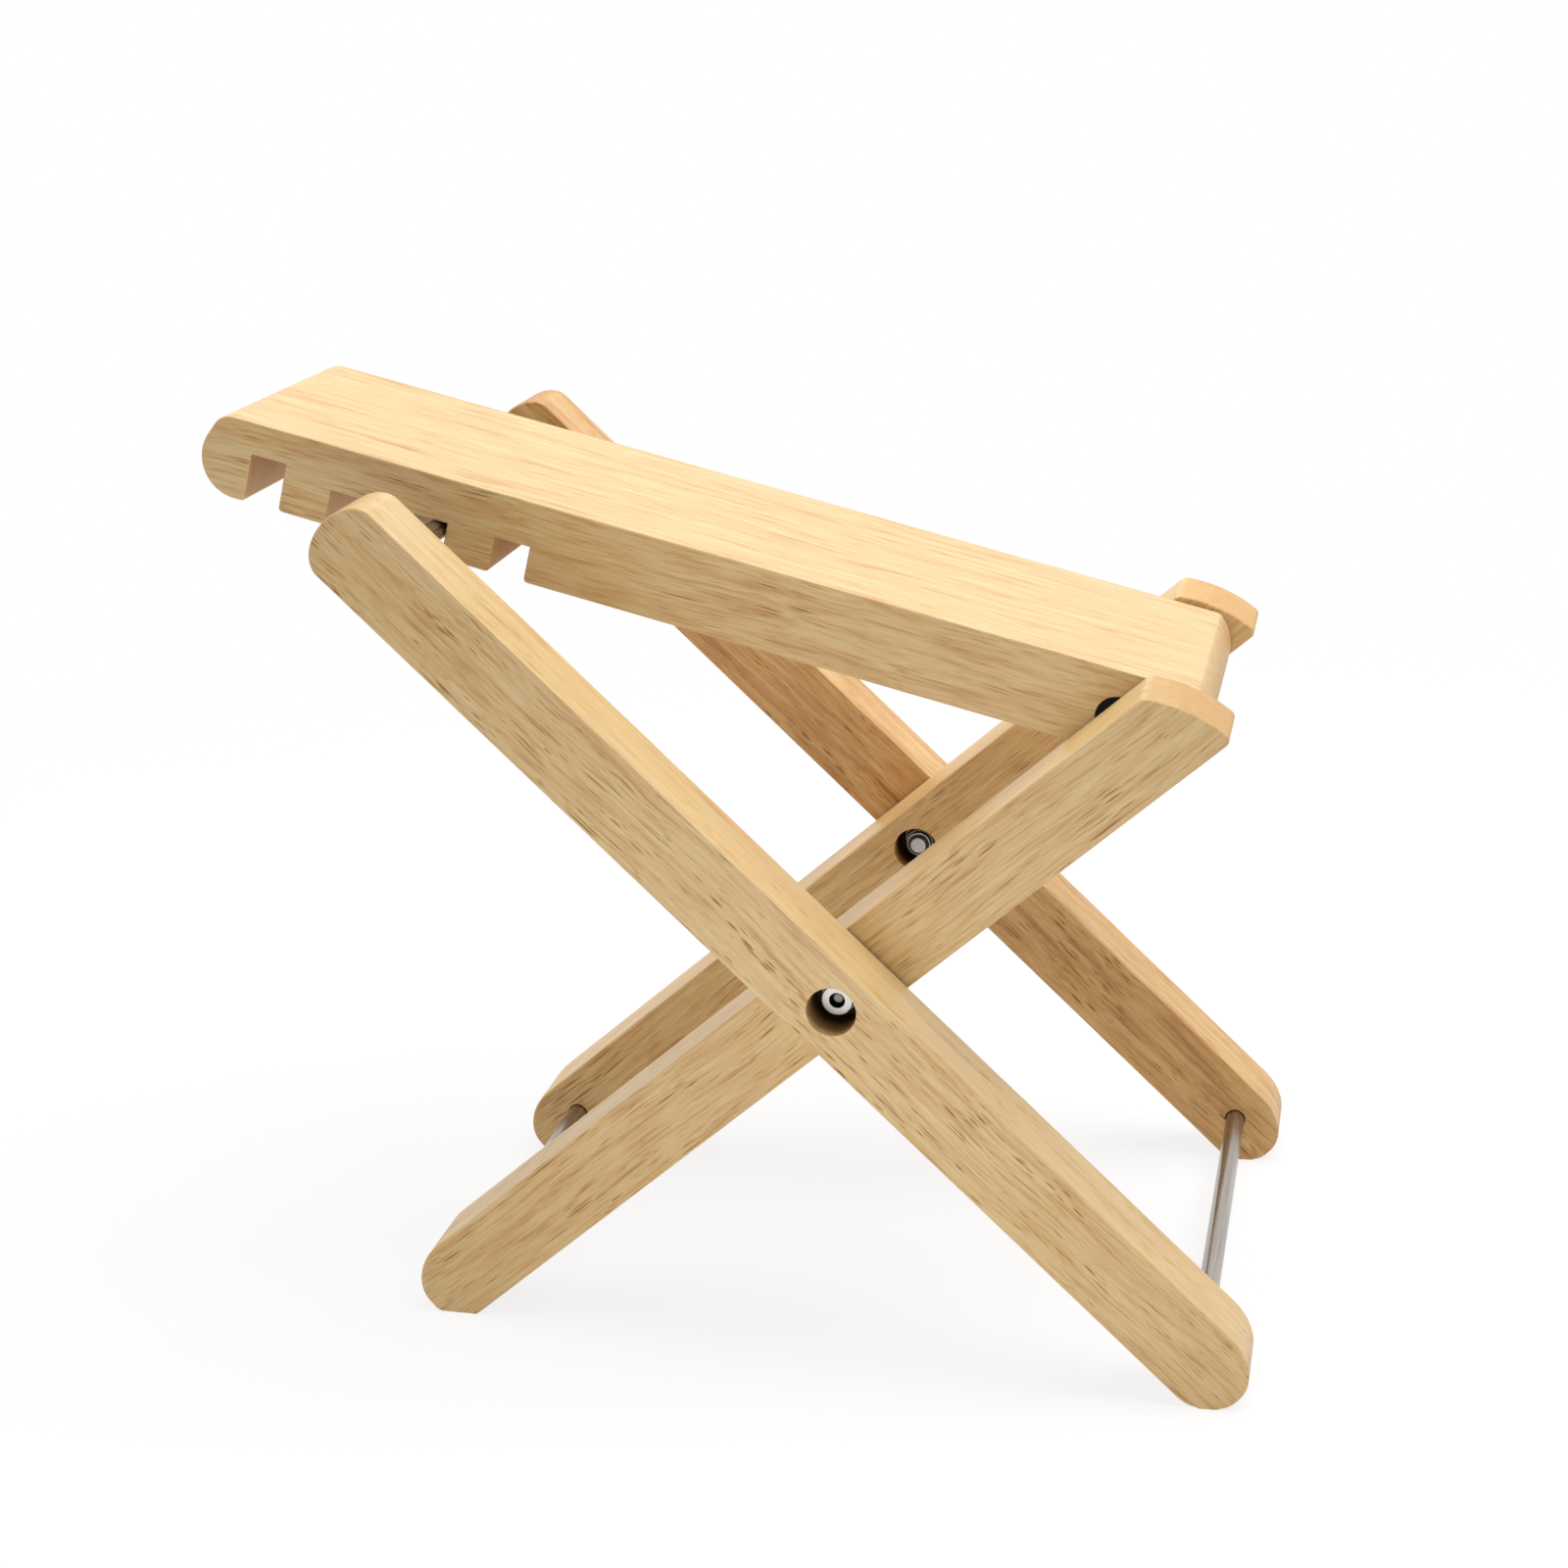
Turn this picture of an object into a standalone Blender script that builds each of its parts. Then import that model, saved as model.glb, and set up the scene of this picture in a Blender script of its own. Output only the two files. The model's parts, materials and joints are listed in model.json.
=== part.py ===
"""Folding guitar footrest: a notched foot plate on two pairs of crossed wooden legs.

The inner legs carry the plate's hinge rod, the outer legs carry the support rod that sits in one of the
plate's notches, and a bolt on each side lets the two pairs of legs cross like scissors.
"""
import math

import bmesh
import bpy
from mathutils import Matrix, Vector

# Sizes are in metres. X runs along the plate towards its hinge, Y across it, Z up.
# Timber sections
leg_width = 0.0200
outer_leg_thickness = 0.0180
inner_leg_thickness = 0.0200
leg_edge_ease = 0.0010
plate_width = 0.0724
plate_thickness = 0.0196
plate_edge_ease = 0.0006

# Distances along each leg from the crossing bolts
outer_top_reach = 0.1582
outer_foot_reach = 0.1297
inner_top_reach = 0.1066
inner_foot_reach = 0.1427
support_rod_offset = 0.0010

# Distances in from a leg's end to the rod it carries there
support_rod_inset = 0.0159
outer_stretcher_inset = 0.0132
inner_stretcher_inset = 0.0152
hinge_inset = 0.0158

# Stance: the inner legs' slope, and how far below each leg's centre line the floor meets its end
inner_leg_rise = math.radians(39.8)
inner_heel_drop = 0.0035
outer_heel_drop = 0.0037

# Leg ends: a round's length along the leg, and the eased corners of the foot flats
top_round_length = 0.0070
foot_round_length = 0.0130
outer_toe_ease = 0.0045
outer_heel_ease = 0.0025
inner_toe_ease = 0.0012
inner_heel_ease = 0.0015
inner_tip_slant = 0.0092
inner_tip_bulge = 0.0024
inner_tip_ease = 0.0022
inner_tip_top_ease = 0.0014

# Foot plate, from its hinge, and the notches across its underside
plate_toe_reach = 0.2352
plate_heel_radius = 0.0119
toe_round_length = 0.0065
toe_under_length = 0.0090
notch_width = 0.0086
notch_pitch = 0.0207
notch_depth = 0.0087
storage_notch_depth = 0.0118
tooth_ease = 0.0011
notch_corner_ease = 0.0004

# Steel rods and the blind sockets that hold them
rod_diameter = 0.0050
inner_socket_depth = 0.0120
outer_socket_depth = 0.0110

# Crossing bolts with lock nuts, sunk in recesses
bolt_diameter = 0.0040
bolt_head_diameter = 0.0072
bolt_head_height = 0.0040
bolt_head_ease = 0.0004
key_socket_width = 0.0030
key_socket_depth = 0.0022
bolt_tip_length = 0.0010
washer_diameter = 0.0090
washer_thickness = 0.0008
leg_washer_diameter = 0.0160
leg_washer_thickness = 0.0005
nut_width = 0.0070
nut_height = 0.0050
nut_collar_diameter = 0.0067
nut_collar_height = 0.0015
nylon_diameter = 0.0055
nylon_height = 0.0012
recess_diameter = 0.0116
head_recess_depth = 0.0124
nut_recess_depth = 0.0105

# Side buffers let into the plate's edges beside the hinge
buffer_diameter = 0.0096
buffer_depth = 0.0040
buffer_proud = 0.0005
buffer_from_hinge = 0.0093
buffer_below_middle = 0.0014
buffer_edge_ease = 0.0003

# Clearances and the fineness of round shapes
seat_gap = 0.00025
socket_clearance = 0.00015
running_clearance = 0.00012
cutter_overrun = 0.0020
arc_step = 0.0016
round_sides = 32
ease_steps = 2
weld_distance = 0.00001

# Distances out from the middle of the footrest
plate_side = plate_width / 2
inner_leg_inside = plate_side + buffer_proud + seat_gap
inner_leg_outside = inner_leg_inside + inner_leg_thickness
outer_leg_inside = inner_leg_outside + leg_washer_thickness + 2 * seat_gap
outer_leg_outside = outer_leg_inside + outer_leg_thickness

# Rods along the legs, from the crossing
support_rod_reach = outer_top_reach - support_rod_inset
outer_stretcher_reach = outer_foot_reach - outer_stretcher_inset
inner_stretcher_reach = inner_foot_reach - inner_stretcher_inset
hinge_reach = inner_top_reach - hinge_inset

# The stance follows from the feet: both pairs stand on the floor
half_leg = leg_width / 2
crossing_height = (inner_foot_reach * math.sin(inner_leg_rise)
                   + inner_heel_drop * math.cos(inner_leg_rise))
outer_leg_rise = (math.asin(crossing_height / math.hypot(outer_foot_reach, outer_heel_drop))
                  - math.atan2(outer_heel_drop, outer_foot_reach))

# The plate lies on the support rod, which stands against the hinge side of its notch
rod_radius = rod_diameter / 2
plate_top = plate_thickness / 2
notch_roof = notch_depth - plate_top
rod_drop = rod_radius + seat_gap - notch_roof
hinge_from_crossing = Vector((hinge_reach * math.cos(inner_leg_rise),
                              hinge_reach * math.sin(inner_leg_rise)))
rod_from_crossing = Vector((support_rod_offset * math.sin(outer_leg_rise)
                            - support_rod_reach * math.cos(outer_leg_rise),
                            support_rod_offset * math.cos(outer_leg_rise)
                            + support_rod_reach * math.sin(outer_leg_rise)))
hinge_to_rod = rod_from_crossing - hinge_from_crossing
plate_fall = (math.atan2(hinge_to_rod.y, -hinge_to_rod.x)
              + math.asin(rod_drop / hinge_to_rod.length))
rod_along_plate = math.sqrt(hinge_to_rod.length ** 2 - rod_drop ** 2)
used_notch = rod_along_plate - rod_radius - seat_gap + notch_width / 2
storage_notch = hinge_reach + inner_stretcher_reach

sides = (("left", 1), ("right", -1))


def rounded_outline(corners):
    """Points of a closed outline. A corner is x, y and the lengths its round takes off the two edges."""
    points = []
    count = len(corners)
    for i, (x, y, back, ahead) in enumerate(corners):
        corner = Vector((x, y))
        before = Vector(corners[i - 1][:2]) - corner
        after = Vector(corners[(i + 1) % count][:2]) - corner
        start = before.normalized() * back
        end = after.normalized() * ahead
        steps = max(2, round((back + ahead) / arc_step))
        for step in range(steps + 1):
            turn = math.pi / 2 * step / steps
            point = corner + start * (1 - math.sin(turn)) + end * (1 - math.cos(turn))
            if not points or (point - points[-1]).length > arc_step / 100:
                points.append(point)
    if (points[0] - points[-1]).length < arc_step / 100:
        points.pop()
    return points


def foot_end(reach, leg_rise, heel_drop):
    """Where the floor line meets a leg's end face and its lower edge, as lengths along the leg."""
    lower_edge = reach - (half_leg - heel_drop) / math.tan(leg_rise)
    return (reach, -heel_drop), (lower_edge, -half_leg)


def outer_leg_outline():
    """An outer leg with its foot towards +X and its upper edge towards +Y."""
    heel, toe = foot_end(outer_foot_reach, outer_leg_rise, outer_heel_drop)
    return rounded_outline([
        (-outer_top_reach, -half_leg, top_round_length, half_leg),
        (-outer_top_reach, half_leg, half_leg, top_round_length),
        (outer_foot_reach, half_leg, foot_round_length, half_leg),
        (*heel, outer_heel_ease, outer_heel_ease),
        (*toe, outer_heel_ease, outer_toe_ease),
    ])


def inner_leg_outline():
    """An inner leg with its hinge end towards +X and its upper edge towards +Y."""
    heel, toe = foot_end(inner_foot_reach, inner_leg_rise, inner_heel_drop)
    tip_start = Vector((inner_top_reach - inner_tip_slant, half_leg))
    tip_end = Vector((inner_top_reach, -half_leg))
    slant = tip_end - tip_start
    outward = Vector((-slant.y, slant.x)).normalized()
    crown = (tip_start + tip_end) / 2 + outward * inner_tip_bulge
    crown_round = slant.length / 2 - inner_tip_ease * 2
    return rounded_outline([
        (-heel[0], heel[1], inner_heel_ease, inner_heel_ease),
        (-toe[0], toe[1], inner_heel_ease, inner_toe_ease),
        (*tip_end, inner_tip_ease, inner_tip_ease),
        (*crown, crown_round, crown_round),
        (*tip_start, inner_tip_top_ease, inner_tip_top_ease),
        (-inner_foot_reach, half_leg, foot_round_length, half_leg),
    ])


def plate_outline():
    """The foot plate from the side, hinge at the origin and low end towards +X, before its notches.

    The low end is rounded about the hinge, and its round meets the upper and lower faces at an arris.
    """
    heel_radius = max(plate_heel_radius, plate_top)
    arris_turn = math.asin(plate_top / heel_radius)
    arris = heel_radius * math.cos(arris_turn)
    steps = max(2, round(2 * arris_turn * heel_radius / arc_step))
    turns = [arris_turn * (2 * step / steps - 1) for step in range(1, steps)]
    heel = [Vector((heel_radius * math.cos(turn), heel_radius * math.sin(turn))) for turn in turns]
    board = rounded_outline([
        (arris, -plate_top, 0.0, 0.0),
        (arris, plate_top, 0.0, 0.0),
        (-plate_toe_reach, plate_top, toe_round_length, plate_top),
        (-plate_toe_reach, -plate_top, plate_top, toe_under_length),
    ])
    return board[:1] + heel + board[1:]


def notch_outline(middle, depth):
    """A notch from the side, open below, with its mouth rounded into the plate's underside."""
    far_wall = -middle - notch_width / 2
    near_wall = -middle + notch_width / 2
    roof = depth - plate_top
    under = -plate_top - cutter_overrun
    return rounded_outline([
        (far_wall - tooth_ease, under, 0.0, 0.0),
        (far_wall - tooth_ease, -plate_top, 0.0, 0.0),
        (far_wall, -plate_top, tooth_ease, tooth_ease),
        (far_wall, roof, notch_corner_ease, notch_corner_ease),
        (near_wall, roof, notch_corner_ease, notch_corner_ease),
        (near_wall, -plate_top, tooth_ease, tooth_ease),
        (near_wall + tooth_ease, -plate_top, 0.0, 0.0),
        (near_wall + tooth_ease, under, 0.0, 0.0),
    ])


def furthest_x(outline, tilt, pivot_x, pick):
    """The least or greatest X that an outline reaches once it is tilted and placed."""
    return pick(pivot_x + point.x * math.cos(tilt) + point.y * math.sin(tilt) for point in outline)


for old in list(bpy.data.objects):
    bpy.data.objects.remove(old, do_unlink=True)

parts = bpy.data.collections.new("folding_footrest")
cutters = bpy.data.collections.new("cutters")
bpy.context.scene.collection.children.link(parts)
bpy.context.scene.collection.children.link(cutters)


def finish(name, colour, roughness, metallic=0.0):
    """A plain Principled material."""
    material = bpy.data.materials.new(name)
    material.use_nodes = True
    shader = material.node_tree.nodes["Principled BSDF"]
    shader.inputs["Base Color"].default_value = (*colour, 1.0)
    shader.inputs["Roughness"].default_value = roughness
    shader.inputs["Metallic"].default_value = metallic
    return material


pale_hardwood = finish("pale_hardwood", (0.60, 0.43, 0.22), 0.45)
satin_steel = finish("satin_steel", (0.56, 0.55, 0.53), 0.30, 1.0)
zinc_steel = finish("zinc_steel", (0.62, 0.61, 0.60), 0.35, 1.0)
black_rubber = finish("black_rubber", (0.012, 0.012, 0.012), 0.60)
dark_nylon = finish("dark_nylon", (0.030, 0.028, 0.026), 0.50)


def frame(name, along, height, tilt):
    """An empty on a joint's axis: local X along the piece, local Y up from it, local Z towards -Y."""
    empty = bpy.data.objects.new(name, None)
    empty.location = (along, 0.0, height)
    empty.rotation_euler = (math.pi / 2, tilt, 0.0)
    parts.objects.link(empty)
    return empty


def place(name, mesh, parent, location, material, collection=parts):
    """A named object with its mesh in a frame."""
    piece = bpy.data.objects.new(name, mesh)
    piece.parent = parent
    piece.location = location
    if material:
        mesh.materials.append(material)
    collection.objects.link(piece)
    return piece


def outline_mesh(name, outline, thickness):
    """A flat outline filled and extruded as a 2D curve, then made a mesh with plain end faces."""
    curve = bpy.data.curves.new(name, "CURVE")
    curve.dimensions = "2D"
    curve.fill_mode = "BOTH"
    curve.extrude = thickness / 2
    spline = curve.splines.new("POLY")
    spline.points.add(len(outline) - 1)
    for point, corner in zip(spline.points, outline):
        point.co = (corner.x, corner.y, 0.0, 1.0)
    spline.use_cyclic_u = True
    guide = bpy.data.objects.new(name, curve)
    cutters.objects.link(guide)
    bpy.context.view_layer.update()
    solid = guide.evaluated_get(bpy.context.evaluated_depsgraph_get())
    mesh = bpy.data.meshes.new_from_object(solid)
    bpy.data.objects.remove(guide)
    bpy.data.curves.remove(curve)
    shape = bmesh.new()
    shape.from_mesh(mesh)
    bmesh.ops.remove_doubles(shape, verts=shape.verts, dist=weld_distance)
    bmesh.ops.dissolve_limit(shape, angle_limit=math.radians(0.5), verts=shape.verts, edges=shape.edges)
    bmesh.ops.recalc_face_normals(shape, faces=shape.faces)
    shape.to_mesh(mesh)
    shape.free()
    return mesh


def round_bar_mesh(name, radius, length, side_count=round_sides):
    """A bar along Z with flat ends, round or with a few flats."""
    mesh = bpy.data.meshes.new(name)
    shape = bmesh.new()
    bmesh.ops.create_cone(shape, cap_ends=True, segments=side_count, radius1=radius, radius2=radius,
                          depth=length)
    shape.to_mesh(mesh)
    shape.free()
    return mesh


def turned_piece(name, profile, parent, location, material, closed):
    """A profile in radius and height, read down its outer side, turned about Z by a Screw modifier."""
    mesh = bpy.data.meshes.new(name)
    points = [(radius, 0.0, height) for radius, height in profile]
    edges = [(i, i + 1) for i in range(len(points) - 1)]
    if closed:
        edges.append((len(points) - 1, 0))
    mesh.from_pydata(points, edges, [])
    piece = place(name, mesh, parent, location, material)
    turn = piece.modifiers.new("turn", "SCREW")
    turn.steps = round_sides
    turn.render_steps = round_sides
    turn.use_merge_vertices = True
    turn.merge_threshold = weld_distance
    return piece


def ring_profile(outer, inner, low, high):
    """The section of a plain ring."""
    return [(outer, high), (outer, low), (inner, low), (inner, high)]


def ease_edges(piece, width):
    """Round the sharp edges of a piece by a small width."""
    ease = piece.modifiers.new("eased_edges", "BEVEL")
    ease.width = width
    ease.segments = ease_steps
    ease.limit_method = "ANGLE"
    ease.angle_limit = math.radians(50)
    ease.use_clamp_overlap = False


def cut(piece, cutter):
    """Take a cutter's shape out of a piece."""
    cutter.hide_render = True
    cutter.display_type = "WIRE"
    hole = piece.modifiers.new(cutter.name, "BOOLEAN")
    hole.operation = "DIFFERENCE"
    hole.solver = "EXACT"
    hole.object = cutter


def bore(piece, name, radius, x, y, start, end, side_count=round_sides):
    """Drill a piece along its frame's Z between two depths, both in the frame."""
    mesh = round_bar_mesh(name, radius, abs(end - start), side_count)
    cut(piece, place(name, mesh, piece.parent, (x, y, (start + end) / 2), None, cutters))


def smooth_round_faces(piece):
    """Shade a round piece smooth up to its edges."""
    piece.data.shade_smooth()
    piece.data.set_sharp_from_angle(angle=math.radians(35))


# Frames on the joints' axes, with the footrest's middle over the origin
outer_outline = outer_leg_outline()
inner_outline = inner_leg_outline()
side_outline = plate_outline()
low_x = furthest_x(side_outline, plate_fall, hinge_from_crossing.x, min)
high_x = furthest_x(outer_outline, outer_leg_rise, 0.0, max)
crossing_x = -(low_x + high_x) / 2
inner_frame = frame("inner_frame", crossing_x, crossing_height, -inner_leg_rise)
outer_frame = frame("outer_frame", crossing_x, crossing_height, outer_leg_rise)
plate_frame = frame("plate_frame", crossing_x + hinge_from_crossing.x,
                    crossing_height + hinge_from_crossing.y, plate_fall)

# Places of the bolt, nut and washers, out from the middle
head_floor = outer_leg_outside - head_recess_depth
head_under = head_floor + 2 * seat_gap + washer_thickness
nut_floor = inner_leg_inside + nut_recess_depth
nut_seat = nut_floor - 2 * seat_gap - washer_thickness
nut_end = nut_seat - nut_height
bolt_end = nut_end - bolt_tip_length
bolt_radius = bolt_diameter / 2
shank_hole = bolt_radius + socket_clearance
recess_radius = recess_diameter / 2
rod_socket = rod_radius + socket_clearance


def drill_leg(leg, name, side, inside, socket_depth, rod_places, recess):
    """Drill a leg's rod sockets from its inner face, then its bolt hole and recess."""
    mouth = side * (inside - cutter_overrun)
    for rod_name, x, y in rod_places:
        bore(leg, f"{name}_{rod_name}_socket", rod_socket, x, y, mouth, side * (inside + socket_depth))
    floor, open_end = recess
    through = (side * (inside - cutter_overrun), side * (outer_leg_outside + cutter_overrun))
    bore(leg, f"{name}_bolt_hole", shank_hole, 0.0, 0.0, *through)
    bore(leg, f"{name}_recess", recess_radius, 0.0, 0.0, side * floor, side * open_end)


for side_name, side in sides:
    # Legs
    name = f"inner_leg_{side_name}"
    middle = side * (inner_leg_inside + inner_leg_outside) / 2
    leg = place(name, outline_mesh(name, inner_outline, inner_leg_thickness), inner_frame,
                (0.0, 0.0, middle), pale_hardwood)
    ease_edges(leg, leg_edge_ease)
    rod_places = [("hinge", hinge_reach, 0.0), ("stretcher", -inner_stretcher_reach, 0.0)]
    drill_leg(leg, name, side, inner_leg_inside, inner_socket_depth, rod_places,
              (nut_floor, inner_leg_inside - cutter_overrun))

    name = f"outer_leg_{side_name}"
    middle = side * (outer_leg_inside + outer_leg_outside) / 2
    leg = place(name, outline_mesh(name, outer_outline, outer_leg_thickness), outer_frame,
                (0.0, 0.0, middle), pale_hardwood)
    ease_edges(leg, leg_edge_ease)
    rod_places = [("support", -support_rod_reach, support_rod_offset),
                  ("stretcher", outer_stretcher_reach, 0.0)]
    drill_leg(leg, name, side, outer_leg_inside, outer_socket_depth, rod_places,
              (head_floor, outer_leg_outside + cutter_overrun))

    # Crossing bolt with a key socket in its head; heights run out from the middle before it is turned round
    head_top = head_under + bolt_head_height
    head_radius = bolt_head_diameter / 2
    facing = Matrix.Rotation(0.0 if side > 0 else math.pi, 4, "X")
    bolt = turned_piece(f"pivot_bolt_{side_name}", [
        (0.0, head_top),
        (head_radius - bolt_head_ease, head_top),
        (head_radius, head_top - bolt_head_ease),
        (head_radius, head_under),
        (bolt_radius, head_under),
        (bolt_radius, bolt_end + bolt_head_ease),
        (bolt_radius - bolt_head_ease, bolt_end),
        (0.0, bolt_end),
    ], outer_frame, (0.0, 0.0, 0.0), zinc_steel, closed=False)
    bolt.matrix_local = facing
    key_radius = key_socket_width / 2 / math.cos(math.pi / 6)
    bore(bolt, f"key_socket_{side_name}", key_radius, 0.0, 0.0, side * (head_top - key_socket_depth),
         side * (head_top + cutter_overrun), side_count=6)
    smooth_round_faces(bolt)

    # Washers under the head, under the nut and between the legs
    washer_hole = bolt_radius + socket_clearance
    washers = (
        ("head_washer", outer_frame, head_floor + seat_gap, washer_diameter, washer_thickness, zinc_steel),
        ("nut_washer", inner_frame, nut_floor - seat_gap - washer_thickness, washer_diameter,
         washer_thickness, zinc_steel),
        ("leg_washer", outer_frame, inner_leg_outside + seat_gap, leg_washer_diameter,
         leg_washer_thickness, dark_nylon),
    )
    for kind, parent, low, diameter, thickness, material in washers:
        washer = turned_piece(f"{kind}_{side_name}",
                              ring_profile(diameter / 2, washer_hole, low, low + thickness),
                              parent, (0.0, 0.0, 0.0), material, closed=True)
        washer.matrix_local = facing
        smooth_round_faces(washer)

    # Lock nut: a hexagon with a round collar that holds a nylon ring
    collar_floor = nut_end + nut_collar_height
    nut_length = nut_seat - collar_floor
    nut = place(f"lock_nut_{side_name}",
                round_bar_mesh("lock_nut", nut_width / 2 / math.cos(math.pi / 6), nut_length, 6),
                outer_frame, (0.0, 0.0, side * (nut_seat + collar_floor) / 2), zinc_steel)
    collar = place(f"nut_collar_{side_name}",
                   round_bar_mesh("nut_collar", nut_collar_diameter / 2, nut_collar_height + nut_length / 2),
                   outer_frame, (0.0, 0.0, side * (nut_end + (nut_collar_height + nut_length / 2) / 2)),
                   None, cutters)
    cut(nut, collar)
    nut.modifiers[collar.name].operation = "UNION"
    bore(nut, f"nut_thread_{side_name}", shank_hole, 0.0, 0.0, side * (nut_end - cutter_overrun),
         side * (nut_seat + cutter_overrun))
    bore(nut, f"nylon_seat_{side_name}", nylon_diameter / 2 + socket_clearance, 0.0, 0.0,
         side * (nut_end - cutter_overrun), side * (nut_end + nylon_height + socket_clearance))
    nylon = turned_piece(f"nylon_insert_{side_name}",
                         ring_profile(nylon_diameter / 2, shank_hole, nut_end, nut_end + nylon_height),
                         outer_frame, (0.0, 0.0, 0.0), dark_nylon, closed=True)
    nylon.matrix_local = facing
    smooth_round_faces(nylon)

# Rods, each as long as the distance between the floors of its two sockets, less a gap at each end
rods = (
    ("hinge_rod", inner_frame, hinge_reach, 0.0, inner_leg_inside + inner_socket_depth),
    ("inner_stretcher_rod", inner_frame, -inner_stretcher_reach, 0.0, inner_leg_inside + inner_socket_depth),
    ("support_rod", outer_frame, -support_rod_reach, support_rod_offset,
     outer_leg_inside + outer_socket_depth),
    ("outer_stretcher_rod", outer_frame, outer_stretcher_reach, 0.0, outer_leg_inside + outer_socket_depth),
)
for name, parent, x, y, socket_floor in rods:
    rod = place(name, round_bar_mesh(name, rod_radius, 2 * (socket_floor - seat_gap)), parent, (x, y, 0.0),
                satin_steel)
    smooth_round_faces(rod)

# Foot plate with its cross bore for the hinge rod and a recess in each edge for a side buffer
plate = place("foot_plate", outline_mesh("foot_plate", side_outline, plate_width), plate_frame,
              (0.0, 0.0, 0.0), pale_hardwood)
ease_edges(plate, plate_edge_ease)
bore(plate, "hinge_bore", rod_radius + running_clearance, 0.0, 0.0, -plate_side - cutter_overrun,
     plate_side + cutter_overrun)
for side_name, side in sides:
    buffer_floor = plate_side - buffer_depth
    bore(plate, f"buffer_recess_{side_name}", buffer_diameter / 2 + socket_clearance, -buffer_from_hinge,
         -buffer_below_middle, side * buffer_floor, side * (plate_side + cutter_overrun))
    low = buffer_floor + seat_gap
    high = plate_side + buffer_proud
    radius = buffer_diameter / 2
    buffer = turned_piece(f"side_buffer_{side_name}", [
        (0.0, high),
        (radius - buffer_edge_ease, high),
        (radius, high - buffer_edge_ease),
        (radius, low),
        (0.0, low),
    ], plate_frame, (0.0, 0.0, 0.0), black_rubber, closed=False)
    seat = Matrix.Translation((-buffer_from_hinge, -buffer_below_middle, 0.0))
    buffer.matrix_local = seat @ Matrix.Rotation(0.0 if side > 0 else math.pi, 4, "X")
    smooth_round_faces(buffer)

# Notches across the plate's underside: the deep one takes the inner stretcher when the footrest is folded
notches = [(storage_notch, storage_notch_depth)]
for steps in (1, 0, -1):
    notches.append((used_notch + steps * notch_pitch, notch_depth))
for count, (middle, depth) in enumerate(notches, start=1):
    name = f"notch_{count}"
    mesh = outline_mesh(name, notch_outline(middle, depth), plate_width + 2 * cutter_overrun)
    cut(plate, place(name, mesh, plate_frame, (0.0, 0.0, 0.0), None, cutters))
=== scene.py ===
"""Folding guitar footrest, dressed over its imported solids: wooden boards, steel rods, bolts and buffers."""
import json
import math

import bpy
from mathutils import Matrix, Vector


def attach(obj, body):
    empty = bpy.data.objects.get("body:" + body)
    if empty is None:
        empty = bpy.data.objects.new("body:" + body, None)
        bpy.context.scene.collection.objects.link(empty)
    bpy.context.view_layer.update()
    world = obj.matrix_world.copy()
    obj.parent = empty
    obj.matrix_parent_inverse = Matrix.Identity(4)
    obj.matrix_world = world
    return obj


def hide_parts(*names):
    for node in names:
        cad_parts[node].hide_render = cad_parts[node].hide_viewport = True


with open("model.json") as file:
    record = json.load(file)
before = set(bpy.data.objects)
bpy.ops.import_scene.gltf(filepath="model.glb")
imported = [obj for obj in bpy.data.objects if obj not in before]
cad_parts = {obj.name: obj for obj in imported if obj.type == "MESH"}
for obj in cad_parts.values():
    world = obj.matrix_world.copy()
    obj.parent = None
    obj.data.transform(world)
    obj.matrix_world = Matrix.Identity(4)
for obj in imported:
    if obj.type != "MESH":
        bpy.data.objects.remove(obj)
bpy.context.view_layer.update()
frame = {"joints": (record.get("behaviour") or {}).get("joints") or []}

# Inner legs. Two straight rubberwood boards, bandsawn to a template, drilled for the hinge rod and the
# stretcher, counterbored on the inside for the lock nut, sanded with small round edges and lacquered.
joint_places = {joint["name"]: Vector(joint["pos_m"]) for joint in frame["joints"]}
crossing = joint_places["leg_spread"]
inner_tilt = math.radians(-39.8)
inner_leg_inside = 0.03695
inner_leg_thickness = 0.0200
leg_edge_round = 0.0006
hinge_reach = 0.0908
inner_stretcher_reach = 0.1275
counterbore_radius = 0.0058
nut_counterbore_depth = 0.0105
bolt_hole_radius = 0.00215
rod_hole_radius = 0.00275
inner_socket_depth = 0.0120
# Where the painted shade inside the nut's counterbore starts and is full, out from the middle
inner_bore_shade_start = 0.0005
inner_bore_shade_full = 0.0050
tip_slope_round = 0.0022
vessel_brown = "#885a27"
end_grain_tint = "#ece0d3"
# Painted shade for the inside of the counterbores
bore_shade_brown = "#3d210e"
# How far a drill starts outside a board, how far a cut or a stain reaches past a wall, and how close two
# places on a board lie that count as one
overrun = 0.002
hair = 0.0001
touching = 1e-6


def linear(code):
    """A colour written as an sRGB hex value, as linear RGBA."""
    parts = [int(code[i:i + 2], 16) / 255 for i in (1, 3, 5)]
    return (*[v / 12.92 if v <= 0.04045 else ((v + 0.055) / 1.055) ** 2.4 for v in parts], 1.0)


def add_node(material, kind, settings=None, inputs=None):
    """One node with its settings. An input that is a socket is linked, and any other is a plain value."""
    tree = material.node_tree
    node = tree.nodes.new(kind)
    for key, value in (settings or {}).items():
        setattr(node, key, value)
    for key, value in (inputs or {}).items():
        if isinstance(value, bpy.types.NodeSocket):
            tree.links.new(value, node.inputs[key])
        else:
            node.inputs[key].default_value = value
    return node


def ramp_stops(ramp, stops):
    """The stops of a colour ramp, as place and colour."""
    band = ramp.color_ramp
    while len(band.elements) > 1:
        band.elements.remove(band.elements[-1])
    band.elements[0].position = stops[0][0]
    band.elements[0].color = stops[0][1]
    for place, colour in stops[1:]:
        band.elements.new(place).color = colour


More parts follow.
